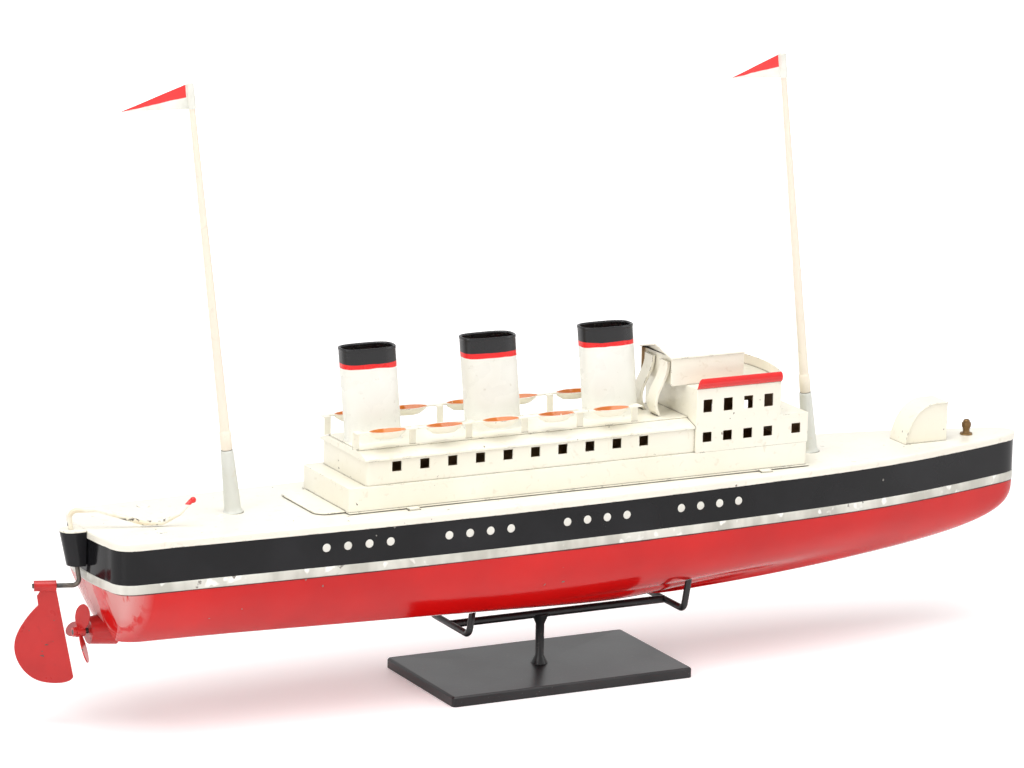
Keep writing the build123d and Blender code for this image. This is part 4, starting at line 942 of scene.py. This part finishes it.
class LINER_OT_masts(bpy.types.Operator):
    """Tapered poles with their ferrules and domed heads, and tin pennants wrapped round them"""
    bl_idname = "liner.masts"
    bl_label = "Masts and pennants"

    def execute(self, context):
        for place, length in MAST_LENGTH.items():
            foot, collar = 30.35, 38.95
            heights = np.linspace(collar + 0.8, length - 1.2, 60)
            taper = np.interp(heights, [collar, length - 12.5, length], [2.3, 1.45, 1.45])
            slub = 1 + 0.012 * np.sin(heights * 0.31) + 0.010 * np.sin(heights * 0.83 + 1)
            profile = [(8.0, 1.0), (8.6, 2.0), (foot, 2.0), (foot, 2.55), (foot + 0.25, 2.7), (collar - 0.3, 2.7),
                       (collar, 2.55), (collar + 0.3, 2.34)]
            profile += list(zip(heights, np.minimum(taper * slub, 2.34)))
            profile += [(length - 0.6, 1.30), (length - 0.15, 0.9), (length, 0.35)]
            pole = turned(f"{place}_mast_pole", [(z * MM, r * MM) for z, r in profile], mast_point(place, 0),
                          mast_axis(), 32)
            pole.data.set_sharp_from_angle(angle=radians(50))
            stand_for(pole, paint_of("mast"), f"{place}_mast")
            self.pennant(place)
        return {"FINISHED"}

    def pennant(self, place):
        """A strip: once round the mast, then a tapering fly with a slow curl."""
        length, tall = PENNANT_LENGTH[place], PENNANT_HEIGHT
        wrap = np.linspace(-pi, pi, 24)
        radius = 1.72
        along, side = list(radius * np.cos(wrap) * -1), list(radius * np.sin(wrap))
        fly = np.linspace(radius, length, 36)[1:]
        along += list(fly)
        side += list(0.28 * np.sin((fly - radius) / length * 2.2 * pi) * (fly - radius) / length)
        along, side = np.array(along), np.array(side)
        share = np.clip((along - radius) / (length - radius), 0, 1) * (np.arange(len(along)) >= 24)
        high = MAST_LENGTH[place] - HEAD_SHOWING - share * tall * 0.60
        low = MAST_LENGTH[place] - HEAD_SHOWING - tall + share * tall * 0.38
        rows = []
        for t in np.linspace(0, 1, 9):
            up = low + (high - low) * t
            points = np.array([mast_point(place, u, a) for u, a in zip(up, along)])
            points[:, 1] += side * MM
            rows.append(points)
        piece = surface(f"{place}_pennant_sheet", np.array(rows))
        edit(piece, lambda mesh: bmesh.ops.recalc_face_normals(mesh, faces=mesh.faces))
        thickened(piece, 0.42 * MM, offset=0.0)
        softened(piece, 0.08 * MM)
        stand_for(piece, pennant_paint(place), f"{place}_pennant")


class LINER_OT_deck_fittings(bpy.types.Operator):
    """Foredeck hood with its cheeks, and the turned capstan"""
    bl_idname = "liner.deck_fittings"
    bl_label = "Hood and capstan"

    def execute(self, context):
        fold("cream", {"foredeck_hood": 0.16, "hood_cheeks": 0.12})
        profile = [(0, 0.2), (0, 3.1), (0.5, 3.1), (0.9, 2.95), (1.1, 2.0), (1.6, 1.72), (2.6, 1.7), (3.4, 1.95),
                   (4.2, 2.28), (4.8, 2.34), (5.6, 2.34), (6.1, 2.25), (6.3, 1.75), (6.9, 1.62), (7.4, 1.45),
                   (7.7, 1.0), (7.8, 0.3)]
        capstan = turned("capstan_turning", [(z * MM, r * MM) for z, r in profile], at(472.5))
        capstan.data.set_sharp_from_angle(angle=radians(45))
        stand_for(capstan, paint_of("brass"), "capstan")
        return {"FINISHED"}


# ---------------------------------------------------------------- superstructure pieces
FOLDED = {
    "lower_house": 0.22, "upper_house": 0.20, "upper_roof": 0.20, "boat_deck": 0.20, "bridge_house": 0.22,
    "bridge_bulwark": 0.12, "chart_house": 0.16, "chart_house_roof": 0.16, "house_base": 0.14,
}


class LINER_OT_houses(bpy.types.Operator):
    """Folded sheet houses and decks with rounded edges, brown inside"""
    bl_idname = "liner.houses"
    bl_label = "Houses"

    def execute(self, context):
        for node, width in FOLDED.items():
            inside = node in ("lower_house", "upper_house", "bridge_house", "chart_house")
            piece = folded_copy(node, width * MM, lining=inside)
            stand_for(piece, [paint_of("cream"), paint_of("lining" if inside else "cream")], node)
        fold("signal", {"dodger_starboard": 0.2, "dodger_port": 0.2})
        fold("cream", {"stair_starboard": 0.12, "stair_port": 0.12})
        return {"FINISHED"}


FUNNEL_LENGTH, FUNNEL_WIDTH, FUNNEL_RAKE, FUNNEL_FLATNESS = 27.6, 13.9, 3.9, 2.9


class LINER_OT_funnels(bpy.types.Operator):
    """Three raked oval funnels, open at the top, with a rolled bead and a folded foot"""
    bl_idname = "liner.funnels"
    bl_label = "Funnels"

    def execute(self, context):
        for place in ("aft", "middle", "fore"):
            low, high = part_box(f"funnel_{place}")
            base_z, top_z = low.z, high.z
            middle = (low.x + high.x) / 2, 0.0
            height = (top_z - base_z) / MM
            tilt = FUNNEL_RAKE / 2
            bead = sizes().funnel_bead / MM
            profile = [(0.35, 0.0), (0.12, 0.5)] + [(0.0, z) for z in np.linspace(1.2, height - 2.2 * bead, 26)]
            profile += [(bead * (0.35 * cos(a) - 0.10), height - bead + bead * sin(a))
                        for a in np.linspace(-0.4 * pi, 0.5 * pi, 6)]
            profile += [(bead * (1.5 * cos(a) - 0.10), height - bead + bead * sin(a))
                        for a in np.linspace(0.6 * pi, 1.1 * pi, 6)]
            profile += [(-0.6, z) for z in np.linspace(height - 3.0 * bead, 0.0, 14)]
            rows = [self.oval(middle, out, z, height, base_z, tilt) for out, z in profile]
            piece = surface(f"funnel_{place}_shell", np.array(rows), wrap_rows=True, wrap_columns=True)
            piece.data.set_sharp_from_angle(angle=radians(60))
            stand_for(piece, paint_of("funnel"), f"funnel_{place}")
        return {"FINISHED"}

    def oval(self, middle, out, z, height, base_z, tilt):
        """A flat-sided oval (a superellipse) that leans aft with height."""
        turn = np.linspace(0, 2 * pi, 96, endpoint=False)
        power = 2 / FUNNEL_FLATNESS
        x = np.sign(np.cos(turn)) * np.abs(np.cos(turn)) ** power * FUNNEL_LENGTH / 2
        y = np.sign(np.sin(turn)) * np.abs(np.sin(turn)) ** power * FUNNEL_WIDTH / 2
        grow = 1 + out / np.hypot(x, y)
        lean = tilt * (1 - 2 * z / height)
        return np.column_stack([middle[0] + (x * grow + lean) * MM, middle[1] + y * grow * MM,
                                np.full(len(turn), base_z + z * MM)])


class LINER_OT_lifeboats(bpy.types.Operator):
    """Two strips of five pressed lifeboats, cream outside and orange inside, on folded legs"""
    bl_idname = "liner.lifeboats"
    bl_label = "Lifeboats"

    def execute(self, context):
        for side in ("starboard", "port"):
            node = f"lifeboats_{side}"
            piece = folded_copy(node, 0.10 * MM)
            data = piece.data
            centre = np.array([poly.center for poly in data.polygons])
            normal = np.array([poly.normal for poly in data.polygons])
            sign = -1 if side == "starboard" else 1
            aside = centre[:, 1] - sign * BOAT_ASIDE
            number = np.clip(np.round((centre[:, 0] - BOAT_FIRST) / BOAT_PITCH), 0, 4)
            along = centre[:, 0] - BOAT_FIRST - number * BOAT_PITCH
            below = span(node, 2)[1] - centre[:, 2]
            inward = -(normal[:, 0] * along + normal[:, 1] * aside * 2.2) + normal[:, 2] * 3 * MM
            bowl = (below > 0.25 * MM) & (below < 4.2 * MM) & (inward > 0) & (np.abs(along) < 10.3 * MM) \
                & (np.abs(aside) < 4.8 * MM)
            data.polygons.foreach_set("material_index", bowl.astype(int))
            stand_for(piece, [paint_of("lifeboat"), paint_of("orange")], node)
        return {"FINISHED"}


# ---------------------------------------------------------------- stern gear and stand
class LINER_OT_stern_gear(bpy.types.Operator):
    """Stern tube, rudder trunk, rudder and screw"""
    bl_idname = "liner.stern_gear"
    bl_label = "Rudder and screw"

    def execute(self, context):
        fold("fitting_red", {"stern_tube": 0.25, "propeller": 0.18, "propeller_nut": 0.15,
                             "rudder_blade": sizes().blade_round / MM})
        fold("strake_black", {"rudder_trunk": 0.15})
        fold("cream", {"trunk_cap": 0.2})
        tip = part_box("rudder_wire")[1].z
        wire = folded_copy("rudder_wire", 0.0)
        co = np.array([v.co for v in frame["nodes"]["rudder_wire"].data.vertices])
        end = co[co[:, 0] > co[:, 0].max() - 1.4 * MM].mean(0) + (0.4 * MM, 0, 0.3 * MM)
        angle = np.linspace(0.02, pi - 0.02, 12)
        ball = turned("ball", [(-1.45 * MM * cos(a), 1.45 * MM * sin(a)) for a in angle], end)
        wire = joined("rudder_wire_sheet", [wire, ball])
        stand_for(wire, tiller_paint(tint("cream"), tip), "rudder_wire")
        return {"FINISHED"}


class LINER_OT_display_stand(bpy.types.Operator):
    """Black wooden plinth and the bent iron wire on it"""
    bl_idname = "liner.display_stand"
    bl_label = "Stand"

    def execute(self, context):
        fold("stand_black", {"base_plate": 0.55, "stand_post": 0.1, "stand_spine": 0.1, "aft_cradle": 0.0,
                             "fore_cradle": 0.0})
        return {"FINISHED"}


class LINER_OT_clockwork(bpy.types.Operator):
    """Metals of the spring motor, its shafts and the stand's screw"""
    bl_idname = "liner.clockwork"
    bl_label = "Clockwork"

    def execute(self, context):
        metals = {"brass": "brass", "spring_steel": "spring", "dark_steel": "steel"}
        for node, slot in SLOT_OF.items():
            if node not in STOOD and slot in metals:
                repaint(node, paint_of(metals[slot]))
        return {"FINISHED"}


# ---------------------------------------------------------------- stage
FLOOR_GLOW = 0.24                   # lifts the paper to white for the eye only, and leaves its shadow


class LINER_OT_stage(bpy.types.Operator):
    """White sweep, soft studio light and the camera"""
    bl_idname = "liner.stage"
    bl_label = "Stage"

    def execute(self, context):
        scene = context.scene
        scene.view_settings.view_transform = "Standard"
        self.backdrop(scene)
        self.floor()
        self.lights()
        self.camera(scene)
        return {"FINISHED"}

    def backdrop(self, scene):
        """White for the eye, a soft grey room for light and reflections."""
        world = bpy.data.worlds.new("studio")
        scene.world = world
        world.use_nodes = True
        nodes, links = world.node_tree.nodes, world.node_tree.links
        nodes.clear()
        room = nodes.new("ShaderNodeBackground")
        room.inputs["Color"].default_value = (1.0, 0.985, 0.97, 1)
        room.inputs["Strength"].default_value = 0.42
        white = nodes.new("ShaderNodeBackground")
        white.inputs["Color"].default_value = (1, 1, 1, 1)
        white.inputs["Strength"].default_value = 1.0
        path, mixer, out = (nodes.new(kind) for kind in ("ShaderNodeLightPath", "ShaderNodeMixShader",
                                                         "ShaderNodeOutputWorld"))
        links.new(plain_sight(world.node_tree, path).value, mixer.inputs["Fac"])
        links.new(room.outputs[0], mixer.inputs[1])
        links.new(white.outputs[0], mixer.inputs[2])
        links.new(mixer.outputs[0], out.inputs["Surface"])

    def floor(self):
        """A wide pale floor that fades to the white of the backdrop."""
        width = 14.0
        floor = mesh_object("floor", [(-width, -width, 0), (width, -width, 0), (width, width, 0), (-width, width, 0)],
                            [(0, 1, 2, 3)], smooth=False)
        paint = Paint("floor_paper", specular_ior_level=0.2)
        paint.base((0.93, 0.915, 0.915))
        paint.feed("Roughness", paint.noise(6, 2.0) * 0.05 + 0.40)
        path = paint.node("ShaderNodeLightPath")
        seen = plain_sight(paint.tree, path)
        x, y = paint.axis("X"), paint.axis("Y")
        away = (x * x + y * y).math("SQRT").above(1.0, 1.2)
        white = paint.node("ShaderNodeEmission", Color=(1, 0.985, 0.985, 1), Strength=seen * (away * 0.75 + FLOOR_GLOW))
        added = paint.node("ShaderNodeAddShader")
        paint.tree.links.new(paint.shader.outputs[0], added.inputs[0])
        paint.tree.links.new(white.outputs[0], added.inputs[1])
        output = next(n for n in paint.tree.nodes if n.type == "OUTPUT_MATERIAL")
        paint.tree.links.new(added.outputs[0], output.inputs["Surface"])
        floor.data.materials.append(paint.material)

    def lights(self):
        """A wide overhead soft box, a tall one to port of the camera and a low fill from the bow."""
        for name, place, target, width, height, power in (
                ("overhead", (-0.2, -0.35, 1.75), (0, 0, 0.08), 1.9, 1.3, 31.0),
                ("tall_side", (-1.9, -1.15, 0.95), (0, 0, 0.12), 0.9, 1.5, 15.0),
                ("bow_side", (1.9, -1.5, 0.75), (0.05, 0, 0.1), 0.8, 1.2, 9.0)):
            data = bpy.data.lights.new(name, "AREA")
            data.shape = "RECTANGLE"
            data.size, data.size_y, data.energy = width, height, power
            lamp = bpy.data.objects.new(name, data)
            bpy.context.scene.collection.objects.link(lamp)
            lamp.location = place
            lamp.rotation_euler = (Vector(target) - Vector(place)).to_track_quat("-Z", "Y").to_euler()

    def camera(self, scene):
        """Long lens from off the starboard quarter, looking a little down."""
        yaw, pitch, roll = 0.469068, 0.229056, -0.0187004
        forward = Vector((sin(yaw) * cos(pitch), cos(yaw) * cos(pitch), -sin(pitch)))
        right = Vector((cos(yaw), -sin(yaw), 0))
        down = forward.cross(right)
        across = right * cos(roll) + down * sin(roll)
        drop = down * cos(roll) - right * sin(roll)
        data = bpy.data.cameras.new("view")
        data.lens, data.sensor_width = 175.78, 36.0
        eye = bpy.data.objects.new("view", data)
        scene.collection.objects.link(eye)
        turn = Matrix((across, -drop, -forward)).transposed()
        eye.matrix_world = Matrix.Translation((-1.05973, -2.05656, 0.68164)) @ turn.to_4x4()
        scene.camera = eye


# ---------------------------------------------------------------- add-on
OPERATORS = (LINER_OT_lower_hull, LINER_OT_strake, LINER_OT_seam, LINER_OT_deck, LINER_OT_sockets, LINER_OT_masts,
             LINER_OT_deck_fittings, LINER_OT_houses, LINER_OT_funnels, LINER_OT_lifeboats, LINER_OT_stern_gear,
             LINER_OT_display_stand, LINER_OT_clockwork, LINER_OT_stage)


class LINER_PT_panel(bpy.types.Panel):
    """Sidebar panel with the liner's colours, sizes and builders"""
    bl_label = "Tinplate Liner"
    bl_idname = "LINER_PT_panel"
    bl_space_type = "VIEW_3D"
    bl_region_type = "UI"
    bl_category = "Tinplate Liner"

    def draw(self, context):
        for group in (context.scene.liner_colours, context.scene.liner_sizes):
            box = self.layout.box()
            for key in group.__annotations__:
                box.prop(group, key)
        for operator in OPERATORS:
            self.layout.operator(operator.bl_idname)


CLASSES = (LinerColours, LinerSizes) + OPERATORS + (LINER_PT_panel,)


def register():
    for cls in CLASSES:
        bpy.utils.register_class(cls)
    bpy.types.Scene.liner_colours = PointerProperty(type=LinerColours)
    bpy.types.Scene.liner_sizes = PointerProperty(type=LinerSizes)


def unregister():
    del bpy.types.Scene.liner_sizes
    del bpy.types.Scene.liner_colours
    for cls in reversed(CLASSES):
        bpy.utils.unregister_class(cls)


def main():
    register()
    for operator in OPERATORS:
        group, name = operator.bl_idname.split(".")
        getattr(getattr(bpy.ops, group), name)()


if __name__ == "__main__":
    main()
